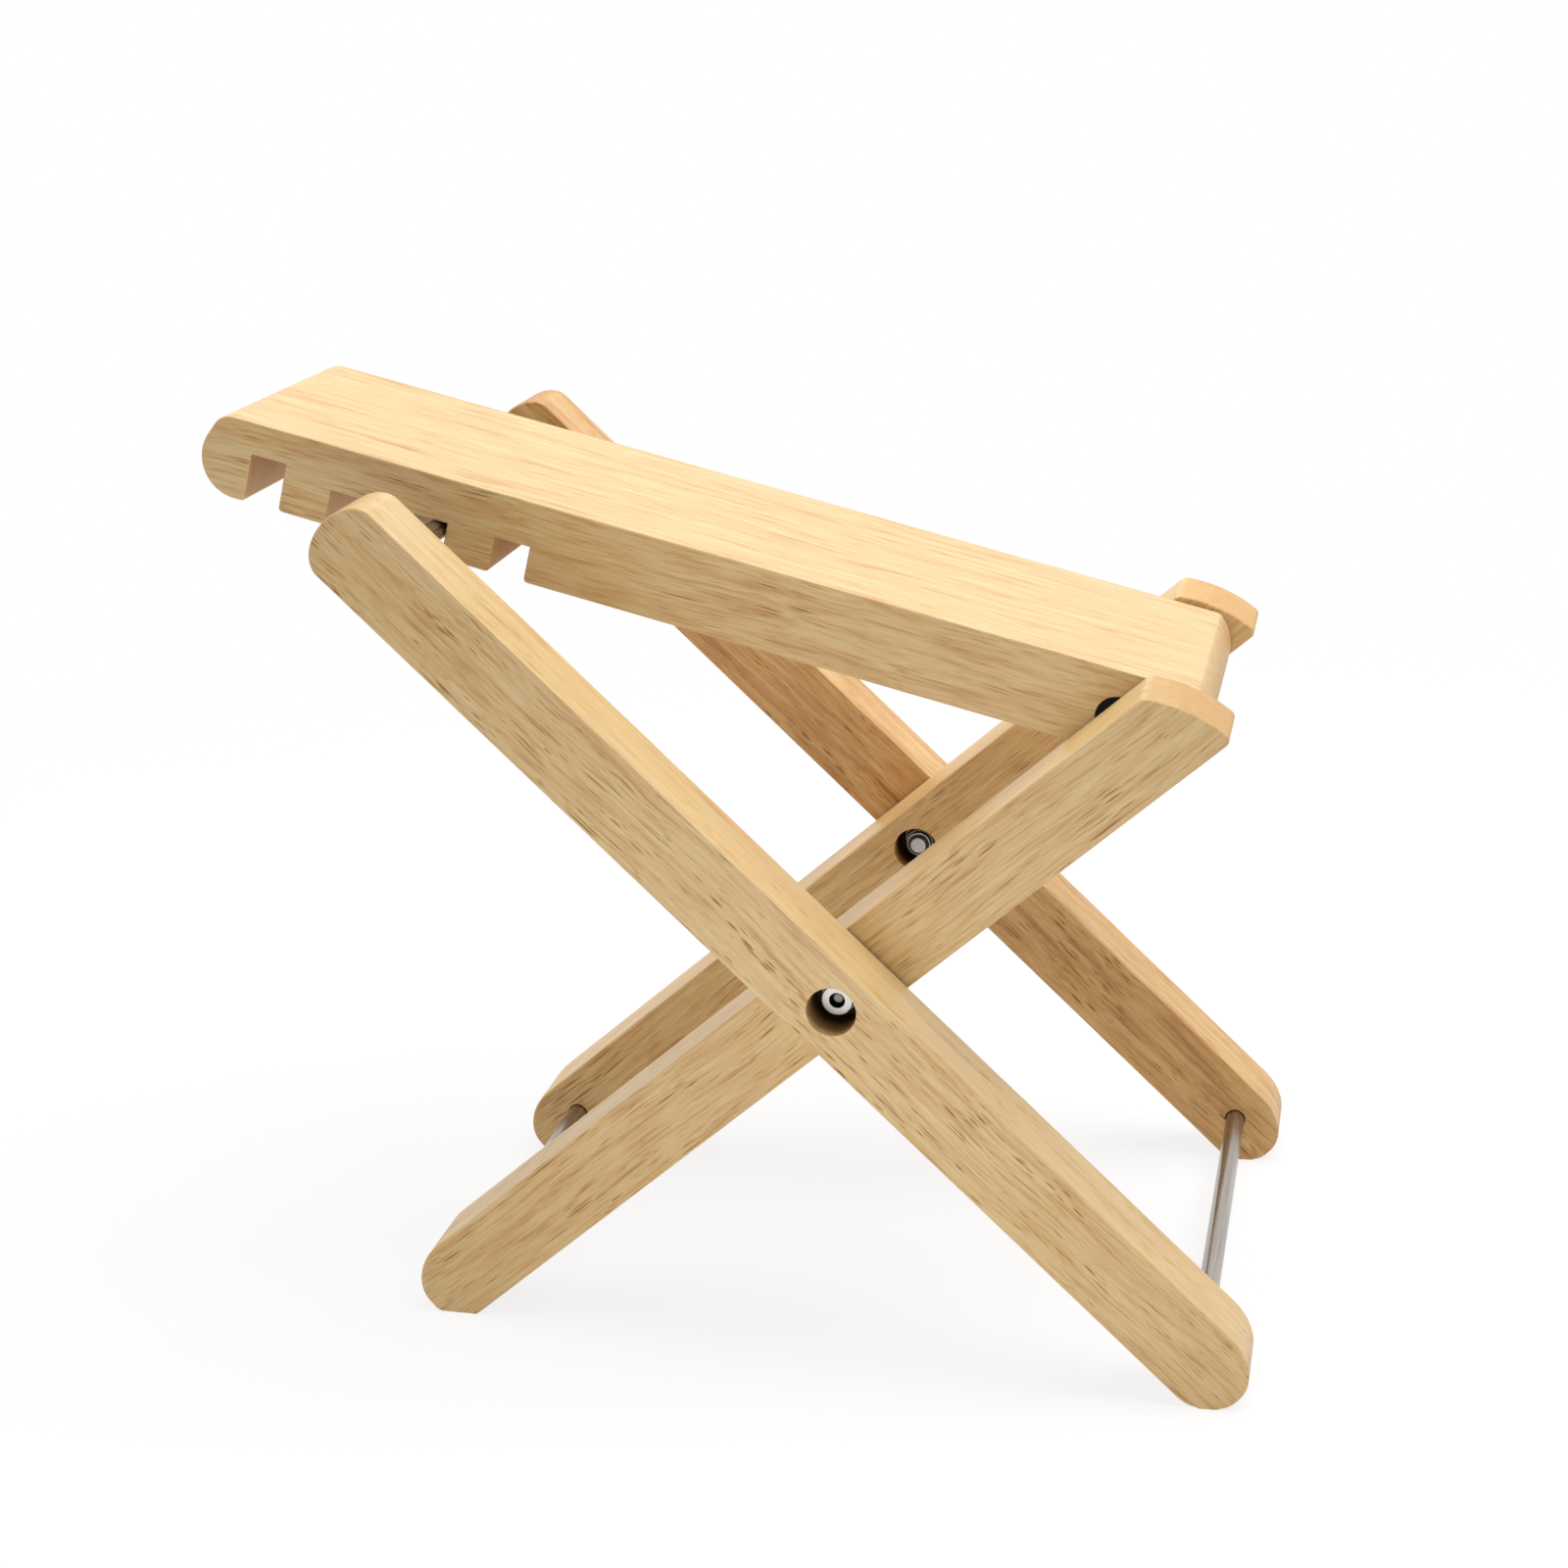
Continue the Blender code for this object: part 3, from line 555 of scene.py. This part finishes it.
def drawn_steel():
    """Drawn mild steel, bright and satin: faint lines run along the rod and its sheen varies a little."""
    material = bpy.data.materials.new("drawn_steel")
    material.use_nodes = True
    tree = material.node_tree
    shader = tree.nodes["Principled BSDF"]
    where = add_node(material, "ShaderNodeTexCoord")
    # Draw lines about 0.4 mm wide and 30 mm long, coarser than real ones so that they show
    lines = add_node(material, "ShaderNodeMapping", inputs={
        "Vector": where.outputs["Object"], "Scale": (1000 / 0.4, 1000 / 30, 1000 / 0.4)})
    drawn = add_node(material, "ShaderNodeTexNoise", inputs={
        "Vector": lines.outputs["Vector"], "Scale": 1.0, "Detail": 2.0})
    tone = add_node(material, "ShaderNodeValToRGB", inputs={"Fac": drawn.outputs["Fac"]})
    ramp_stops(tone, [(0.3, linear("#9a938c")), (0.7, linear("#b8b2ab"))])
    tree.links.new(tone.outputs["Color"], shader.inputs["Base Color"])
    sheen = add_node(material, "ShaderNodeMapRange", inputs={
        "Value": drawn.outputs["Fac"], "To Min": 0.20, "To Max": 0.36})
    tree.links.new(sheen.outputs["Result"], shader.inputs["Roughness"])
    bump = add_node(material, "ShaderNodeBump", inputs={
        "Height": drawn.outputs["Fac"], "Strength": 0.15, "Distance": 0.00002})
    tree.links.new(bump.outputs["Normal"], shader.inputs["Normal"])
    shader.inputs["Metallic"].default_value = 1.0
    return material


rod_steel = drawn_steel()
inner_socket = inner_leg_inside + inner_socket_depth
outer_socket = outer_leg_inside + outer_socket_depth
rods = (
    ("hinge_pin", "hinge_rod", "inner_frame",
     inner_tilt, hinge_reach, 0.0, inner_socket),
    ("inner_stretcher", "inner_stretcher_rod", "inner_frame",
     inner_tilt, -inner_stretcher_reach, 0.0, inner_socket),
    ("support_bar", "support_rod", "outer_frame",
     outer_tilt, -support_rod_reach, support_rod_offset, outer_socket),
    ("outer_stretcher", "outer_stretcher_rod", "outer_frame",
     outer_tilt, outer_stretcher_reach, 0.0, outer_socket),
)
for name, node, body, tilt, reach, offset, socket_floor in rods:
    rod_end = socket_floor - rod_end_gap
    bpy.ops.object.select_all(action="DESELECT")
    bpy.ops.mesh.primitive_cylinder_add(
        vertices=48, radius=rod_radius, depth=2 * rod_end,
        location=on_board(crossing, tilt, reach, offset, 0.0), rotation=(math.pi / 2, 0.0, 0.0))
    rod = bpy.context.object
    rod.name = name
    rod.data.name = name
    bpy.ops.object.transform_apply(location=True, rotation=True, scale=True)
    round_edges(rod, rod_chamfer, steps=2, chosen=on_faces(-rod_end, rod_end))
    fit(rod, rod_steel, body, "satin_steel", node)

# Crossing bolts. Zinc plated M4 cap screws with an eased head, a broached hexagon socket and a rolled
# thread, sunk in the outer legs with a washer under the head and passed through both legs.
head_radius = 0.0036
head_edge_round = 0.00015
head_under = 0.06485
head_top = 0.06885
bolt_radius = 0.0020
thread_pitch = 0.0007
thread_depth = 0.0004
thread_start = 0.0430
bolt_end = 0.04015
key_half_width = 0.0015
key_socket_radius = key_half_width / math.cos(math.pi / 6)
key_rim_radius = 0.0019
key_rim_floor_radius = 0.0014
key_rim_depth = 0.0004
key_socket_depth = 0.0016
key_point_radius = 0.0013
key_point_depth = 0.0005
# Painted shade in the key socket: less dark inside the middle radius, full from the ring out
lighter_middle_radius = 0.0008
socket_shade_ring_radius = 0.0012
socket_shade_black = "#15110e"
# How far a stain keeps inside a face, and how far a drill starts outside a small metal piece
skin = 0.00002
small_overrun = 0.001


def zinc_plate():
    """Zinc plating over turned steel: a bright grey with a faint cloudy change of tone and sheen.

    The key socket is painted near black round its walls as painted shade inside it, a little less dark in its
    middle.
    """
    material = bpy.data.materials.new("zinc_plated_steel")
    material.use_nodes = True
    tree = material.node_tree
    shader = tree.nodes["Principled BSDF"]
    where = add_node(material, "ShaderNodeTexCoord")
    # Clouds about 0.8 mm across
    clouds_place = add_node(material, "ShaderNodeMapping", inputs={
        "Vector": where.outputs["Object"], "Scale": (1000 / 0.8, 1000 / 0.8, 1000 / 0.8)})
    clouds = add_node(material, "ShaderNodeTexNoise", inputs={
        "Vector": clouds_place.outputs["Vector"], "Scale": 1.0, "Detail": 3.0})
    tone = add_node(material, "ShaderNodeValToRGB", inputs={"Fac": clouds.outputs["Fac"]})
    ramp_stops(tone, [(0.3, linear("#a39f9b")), (0.7, linear("#b9b5b1"))])
    beside = add_node(material, "ShaderNodeVectorMath", {"operation": "MULTIPLY"}, {
        0: where.outputs["Object"], 1: (1.0, 0.0, 1.0)})
    out = add_node(material, "ShaderNodeVectorMath", {"operation": "DISTANCE"}, {
        0: beside.outputs["Vector"], 1: crossing})
    past_middle = add_node(material, "ShaderNodeMapRange", inputs={
        "Value": out.outputs["Value"], "From Min": lighter_middle_radius, "From Max": socket_shade_ring_radius,
        "To Min": 0.62})
    in_socket = add_node(material, "ShaderNodeMath", {"operation": "LESS_THAN"}, {
        0: out.outputs["Value"], 1: key_rim_radius + skin})
    place = add_node(material, "ShaderNodeSeparateXYZ", inputs={"Vector": where.outputs["Object"]})
    sideways = add_node(material, "ShaderNodeMath", {"operation": "ABSOLUTE"}, {0: place.outputs["Y"]})
    in_head = add_node(material, "ShaderNodeMath", {"operation": "GREATER_THAN"}, {
        0: sideways.outputs["Value"], 1: head_top - key_socket_depth - key_point_depth})
    below_face = add_node(material, "ShaderNodeMath", {"operation": "LESS_THAN"}, {
        0: sideways.outputs["Value"], 1: head_top - skin})
    # Painted shade over the socket's walls, floor and rim
    socket_shade = past_middle.outputs["Result"]
    for part in (in_socket, in_head, below_face):
        both = add_node(material, "ShaderNodeMath", {"operation": "MULTIPLY"}, {
            0: socket_shade, 1: part.outputs["Value"]})
        socket_shade = both.outputs["Value"]
    socket_shaded = add_node(material, "ShaderNodeMix", {"data_type": "RGBA"}, {
        "Factor": socket_shade, 6: tone.outputs["Color"], 7: linear(socket_shade_black)})
    tree.links.new(socket_shaded.outputs[2], shader.inputs["Base Color"])
    sheen = add_node(material, "ShaderNodeMapRange", inputs={
        "Value": clouds.outputs["Fac"], "To Min": 0.26, "To Max": 0.46})
    tree.links.new(sheen.outputs["Result"], shader.inputs["Roughness"])
    bump = add_node(material, "ShaderNodeBump", inputs={
        "Height": clouds.outputs["Fac"], "Strength": 0.15, "Distance": 0.00002})
    tree.links.new(bump.outputs["Normal"], shader.inputs["Normal"])
    shader.inputs["Metallic"].default_value = 1.0
    return material


zinc = zinc_plate()


def select_faces(piece, way):
    """Go into edit mode with the faces selected that look along Y one way, 1 or -1."""
    bpy.ops.object.select_all(action="DESELECT")
    piece.select_set(True)
    bpy.context.view_layer.objects.active = piece
    bpy.ops.object.mode_set(mode="EDIT")
    bpy.ops.mesh.select_mode(type="FACE")
    bpy.ops.mesh.select_all(action="DESELECT")
    bpy.ops.object.mode_set(mode="OBJECT")
    for face in piece.data.polygons:
        face.select = face.normal.y * way > 0.9
    bpy.ops.object.mode_set(mode="EDIT")


def turned_blank(name, radius, near, far, sides=64):
    """A round blank along Y at the crossing, between two distances out from the middle, on the left."""
    bpy.ops.object.select_all(action="DESELECT")
    bpy.ops.mesh.primitive_cylinder_add(
        vertices=sides, radius=radius, depth=far - near,
        location=(crossing.x, -(near + far) / 2, crossing.z), rotation=(math.pi / 2, 0.0, 0.0))
    blank = bpy.context.object
    blank.name = name
    blank.data.name = name
    bpy.ops.object.transform_apply(location=True, rotation=True, scale=True)
    return blank


bolt = turned_blank("cap_screw_left", head_radius, head_under, head_top)
round_edges(bolt, head_edge_round, steps=2, chosen=on_faces(-head_top, -head_top))
select_faces(bolt, 1)
bpy.ops.mesh.inset(thickness=head_radius - bolt_radius)
bpy.ops.mesh.extrude_region_move(TRANSFORM_OT_translate={"value": (0.0, head_under - thread_start, 0.0)})
tip = thread_start
root = (bolt_radius - thread_depth) / bolt_radius
while tip - thread_pitch > bolt_end:
    for size in (root, 1 / root):
        bpy.ops.mesh.extrude_region_move(TRANSFORM_OT_translate={"value": (0.0, thread_pitch / 2, 0.0)})
        tip -= thread_pitch / 2
        bpy.ops.transform.resize(value=(size, 1.0, size), center_override=(crossing.x, -tip, crossing.z))
bpy.ops.mesh.extrude_region_move(TRANSFORM_OT_translate={"value": (0.0, tip - bolt_end, 0.0)})
bpy.ops.transform.resize(value=(root, 1.0, root), center_override=(crossing.x, -bolt_end, crossing.z))
bpy.ops.object.mode_set(mode="OBJECT")
drill(bolt, key_socket_radius, crossing, -head_top - small_overrun, key_socket_depth - head_top, sides=6)
# The drill's point below the socket, and the countersunk rim of the socket
key_cones = (
    (key_point_radius, 0.0, key_socket_depth - 2 * hair, key_socket_depth + key_point_depth),
    (key_rim_radius + hair, key_rim_floor_radius, -hair, key_rim_depth),
)
for wide, narrow, start, end in key_cones:
    bpy.ops.object.select_all(action="DESELECT")
    bpy.ops.mesh.primitive_cone_add(
        vertices=48, radius1=wide, radius2=narrow, depth=end - start,
        location=(crossing.x, (start + end) / 2 - head_top, crossing.z), rotation=(-math.pi / 2, 0.0, 0.0))
    cut(bolt, bpy.context.object)
bolt_pair = other_side(bolt, "cap_screw_right")
fit(bolt, zinc, "outer_frame", "zinc_steel", "pivot_bolt_left")
fit(bolt_pair, zinc, "outer_frame", "zinc_steel", "pivot_bolt_right")

# Washers. Punched zinc plated rings under the bolt heads and the nuts, with the soft rim that the punch
# leaves, and thin dark nylon rings that keep the crossing legs from rubbing.
washer_radius = 0.0045
washer_thickness = 0.0008
head_washer_near = 0.0638
nut_washer_near = 0.0464
leg_washer_radius = 0.0080
leg_washer_thickness = 0.0005
leg_washer_near = 0.0572


def dark_nylon():
    """Nylon moulded in a dark grey: a dull even sheen with the fine grain of the mould."""
    material = bpy.data.materials.new("dark_moulded_nylon")
    material.use_nodes = True
    tree = material.node_tree
    shader = tree.nodes["Principled BSDF"]
    where = add_node(material, "ShaderNodeTexCoord")
    # Mould grain about 0.3 mm across
    grit_place = add_node(material, "ShaderNodeMapping", inputs={
        "Vector": where.outputs["Object"], "Scale": (1000 / 0.3, 1000 / 0.3, 1000 / 0.3)})
    grit = add_node(material, "ShaderNodeTexNoise", inputs={
        "Vector": grit_place.outputs["Vector"], "Scale": 1.0, "Detail": 2.0})
    tone = add_node(material, "ShaderNodeValToRGB", inputs={"Fac": grit.outputs["Fac"]})
    ramp_stops(tone, [(0.3, linear("#1e1b1a")), (0.7, linear("#2b2826"))])
    tree.links.new(tone.outputs["Color"], shader.inputs["Base Color"])
    sheen = add_node(material, "ShaderNodeMapRange", inputs={
        "Value": grit.outputs["Fac"], "To Min": 0.45, "To Max": 0.60})
    tree.links.new(sheen.outputs["Result"], shader.inputs["Roughness"])
    shader.inputs["IOR"].default_value = 1.53
    return material


nylon = dark_nylon()
rings = (
    ("head_ring", "head_washer", "outer_frame",
     head_washer_near, washer_radius, washer_thickness, zinc, "zinc_steel"),
    ("nut_ring", "nut_washer", "inner_frame",
     nut_washer_near, washer_radius, washer_thickness, zinc, "zinc_steel"),
    ("leg_ring", "leg_washer", "outer_frame",
     leg_washer_near, leg_washer_radius, leg_washer_thickness, nylon, "dark_nylon"),
)
for name, node, body, near, radius, thickness, material, slot in rings:
    ring = turned_blank(f"{name}_left", radius, near, near + thickness)
    round_edges(ring, thickness / 4, steps=2, chosen=on_faces(-near, -near - thickness))
    drill(ring, bolt_hole_radius, crossing, small_overrun - near, -near - thickness - small_overrun)
    ring_pair = other_side(ring, f"{name}_right")
    fit(ring, material, body, slot, f"{node}_left")
    fit(ring_pair, material, body, slot, f"{node}_right")

# Lock nuts. Cold-formed zinc plated hexagons with chamfered corners and a round collar, its rim rolled over
# a nylon ring that grips the thread, run up on the bolts in the recesses of the inner legs.
nut_seat = 0.04615
nut_end = 0.04115
nut_half_width = 0.0035
collar_radius = 0.00335
collar_height = 0.0015
collar_rim_round = 0.0004
nut_chamfer = 0.0006
nylon_radius = 0.00275
nylon_depth = 0.0012
nylon_clearance = 0.0001
nylon_rim_round = 0.0002
nut_corner_radius = nut_half_width / math.cos(math.pi / 6)
nut = turned_blank("lock_hexagon_left", nut_corner_radius, nut_end + collar_height, nut_seat, sides=6)
chamfer = turned_blank("chamfer", nut_corner_radius + hair, nut_end + collar_height, nut_seat)
round_edges(chamfer, nut_chamfer, steps=1, chosen=on_faces(-nut_end - collar_height, -nut_seat))
cut(nut, chamfer, "INTERSECT")
collar = turned_blank("collar", collar_radius, nut_end, nut_end + 2 * collar_height)
round_edges(collar, collar_rim_round, steps=3, chosen=on_faces(-nut_end, -nut_end))
cut(nut, collar, "UNION")
drill(nut, bolt_hole_radius, crossing, small_overrun - nut_end, -nut_seat - small_overrun)
drill(nut, nylon_radius + nylon_clearance, crossing, small_overrun - nut_end, -nut_end - nylon_depth)
nut_pair = other_side(nut, "lock_hexagon_right")
fit(nut, zinc, "outer_frame", "zinc_steel", "lock_nut_left")
fit(nut_pair, zinc, "outer_frame", "zinc_steel", "lock_nut_right")
grip = turned_blank("nylon_grip_left", nylon_radius, nut_end, nut_end + nylon_depth)
round_edges(grip, nylon_rim_round, steps=2, chosen=on_faces(-nut_end, -nut_end))
drill(grip, bolt_hole_radius, crossing, small_overrun - nut_end, -nut_end - nylon_depth - small_overrun)
grip_pair = other_side(grip, "nylon_grip_right")
fit(grip, nylon, "outer_frame", "dark_nylon", "nylon_insert_left")
fit(grip_pair, nylon, "outer_frame", "dark_nylon", "nylon_insert_right")

# Side buffers. Black rubber buttons pressed into the recesses in the plate's edges, standing a little proud
# with a rounded rim and a slightly domed face, so that the plate doesn't knock on the inner legs.
button_radius = 0.0048
button_back = 0.03245
button_rim = 0.0364
# The rim's round, then the dome, each as its width and its rise
button_steps = ((0.0004, 0.0002), (0.0016, 0.00008), (0.0016, 0.00002))


def black_rubber():
    """Moulded black rubber: near black, dull, with a very fine grain that breaks up the light."""
    material = bpy.data.materials.new("black_moulded_rubber")
    material.use_nodes = True
    tree = material.node_tree
    shader = tree.nodes["Principled BSDF"]
    where = add_node(material, "ShaderNodeTexCoord")
    # Grain about 0.35 mm across
    grit_place = add_node(material, "ShaderNodeMapping", inputs={
        "Vector": where.outputs["Object"], "Scale": (1000 / 0.35, 1000 / 0.35, 1000 / 0.35)})
    grit = add_node(material, "ShaderNodeTexNoise", inputs={
        "Vector": grit_place.outputs["Vector"], "Scale": 1.0, "Detail": 2.0})
    tone = add_node(material, "ShaderNodeValToRGB", inputs={"Fac": grit.outputs["Fac"]})
    ramp_stops(tone, [(0.3, linear("#060505")), (0.7, linear("#0d0c0b"))])
    tree.links.new(tone.outputs["Color"], shader.inputs["Base Color"])
    sheen = add_node(material, "ShaderNodeMapRange", inputs={
        "Value": grit.outputs["Fac"], "To Min": 0.55, "To Max": 0.75})
    tree.links.new(sheen.outputs["Result"], shader.inputs["Roughness"])
    bump = add_node(material, "ShaderNodeBump", inputs={
        "Height": grit.outputs["Fac"], "Strength": 0.3, "Distance": 0.00003})
    tree.links.new(bump.outputs["Normal"], shader.inputs["Normal"])
    shader.inputs["IOR"].default_value = 1.52
    shader.inputs["Specular IOR Level"].default_value = 0.12
    return material


rubber = black_rubber()
bpy.ops.object.select_all(action="DESELECT")
bpy.ops.mesh.primitive_cylinder_add(
    vertices=64, radius=button_radius, depth=button_rim - button_back,
    location=(buffer_place.x, -(button_rim + button_back) / 2, buffer_place.z),
    rotation=(math.pi / 2, 0.0, 0.0))
button = bpy.context.object
button.name = "rubber_button_left"
button.data.name = "rubber_button_left"
bpy.ops.object.transform_apply(location=True, rotation=True, scale=True)
select_faces(button, -1)
for width, rise in button_steps:
    bpy.ops.mesh.inset(thickness=width)
    bpy.ops.transform.translate(value=(0.0, -rise, 0.0))
bpy.ops.object.mode_set(mode="OBJECT")
button_pair = other_side(button, "rubber_button_right")
fit(button, rubber, "plate", "black_rubber", "side_buffer_left")
fit(button_pair, rubber, "plate", "black_rubber", "side_buffer_right")

# Floor and light. A plain white painted floor under a broad overhead softbox, with soft fill from both
# sides and low in front, as in a product studio. Seen directly it is white, with a soft shadow close by.
white = (1.0, 1.0, 1.0, 1.0)
floor_seen = (0.95, 0.95, 0.95, 1.0)
floor_bounce = (0.82, 0.82, 0.82, 1.0)
shadow_reach = 0.2
shadow_end = 0.7
glow_in_shadow = 0.82
room_light = 0.27
light_aim = Vector((0.0, 0.0, 0.12))
bpy.ops.object.select_all(action="DESELECT")
bpy.ops.mesh.primitive_plane_add(size=8.0, location=(0.0, 0.0, 0.0))
floor = bpy.context.object
floor.name = "studio_floor"
floor_paint = bpy.data.materials.new("white_studio_floor")
floor_paint.use_nodes = True
floor_tree = floor_paint.node_tree
floor_shader = floor_tree.nodes["Principled BSDF"]
floor_shader.inputs["Roughness"].default_value = 0.9
floor_shader.inputs["Specular IOR Level"].default_value = 0.0
floor_glow = add_node(floor_paint, "ShaderNodeEmission", inputs={"Color": white, "Strength": 1.0})
floor_path = add_node(floor_paint, "ShaderNodeLightPath")
seen = add_node(floor_paint, "ShaderNodeMath", {"operation": "MAXIMUM"}, {
    0: floor_path.outputs["Is Camera Ray"], 1: floor_path.outputs["Is Glossy Ray"]})
seen_or_through = add_node(floor_paint, "ShaderNodeMath", {"operation": "MAXIMUM"}, {
    0: seen.outputs["Value"], 1: floor_path.outputs["Is Transmission Ray"]})
floor_colour = add_node(floor_paint, "ShaderNodeMix", {"data_type": "RGBA"}, {
    "Factor": seen_or_through.outputs["Value"], 6: floor_bounce, 7: floor_seen})
floor_tree.links.new(floor_colour.outputs[2], floor_shader.inputs["Base Color"])
floor_where = add_node(floor_paint, "ShaderNodeTexCoord")
floor_far = add_node(floor_paint, "ShaderNodeVectorMath", {"operation": "LENGTH"}, {
    0: floor_where.outputs["Object"]})
floor_fade = add_node(floor_paint, "ShaderNodeMapRange", {"interpolation_type": "SMOOTHSTEP"}, {
    "Value": floor_far.outputs["Value"], "From Min": shadow_reach, "From Max": shadow_end,
    "To Min": glow_in_shadow, "To Max": 1.0})
floor_share = add_node(floor_paint, "ShaderNodeMath", {"operation": "MULTIPLY"}, {
    0: seen_or_through.outputs["Value"], 1: floor_fade.outputs["Result"]})
floor_mix = add_node(floor_paint, "ShaderNodeMixShader", inputs={
    0: floor_share.outputs["Value"], 1: floor_shader.outputs["BSDF"], 2: floor_glow.outputs["Emission"]})
floor_tree.links.new(floor_mix.outputs["Shader"], floor_tree.nodes["Material Output"].inputs["Surface"])
floor.data.materials.append(floor_paint)

world = bpy.data.worlds.new("studio")
bpy.context.scene.world = world
world.use_nodes = True
sky = world.node_tree.nodes["Background"]
sky.inputs["Color"].default_value = white
path = add_node(world, "ShaderNodeLightPath")
direct = add_node(world, "ShaderNodeMath", {"operation": "MAXIMUM"}, {
    0: path.outputs["Is Camera Ray"], 1: path.outputs["Is Glossy Ray"]})
through = add_node(world, "ShaderNodeMath", {"operation": "MAXIMUM"}, {
    0: direct.outputs["Value"], 1: path.outputs["Is Transmission Ray"]})
level = add_node(world, "ShaderNodeMapRange", inputs={
    "Value": through.outputs["Value"], "To Min": room_light, "To Max": 1.0})
world.node_tree.links.new(level.outputs["Result"], sky.inputs["Strength"])


def softbox(name, place, size, watts):
    """A square soft light aimed at the footrest."""
    lamp = bpy.data.lights.new(name, "AREA")
    lamp.shape = "SQUARE"
    lamp.size = size
    lamp.energy = watts
    holder = bpy.data.objects.new(name, lamp)
    holder.location = place
    aim = light_aim - Vector(place)
    holder.rotation_euler = aim.to_track_quat("-Z", "Y").to_euler()
    bpy.context.scene.collection.objects.link(holder)


softbox("overhead_softbox", (0.36, 0.10, 1.25), 1.2, 18.0)
softbox("right_fill", (0.85, 0.05, 1.05), 0.9, 0.9)
softbox("left_fill", (-0.90, 0.00, 0.80), 0.8, 3.5)
softbox("low_front_fill", (0.20, -0.90, 0.06), 0.5, 0.10)
softbox("foot_fill", (0.02, -0.24, 0.03), 0.2, 0.17)

# Camera. Where the picture was taken from, worked out from the edges of the legs and the plate.
lens = bpy.data.cameras.new("camera")
lens.lens = 64.1845
lens.sensor_width = 36.0
camera = bpy.data.objects.new("camera", lens)
camera.location = (0.156036, -0.648991, 0.335073)
camera.rotation_euler = (1.26266466, 0.03877011, 0.21614004)
bpy.context.scene.collection.objects.link(camera)
bpy.context.scene.camera = camera
bpy.context.scene.view_settings.view_transform = "Standard"
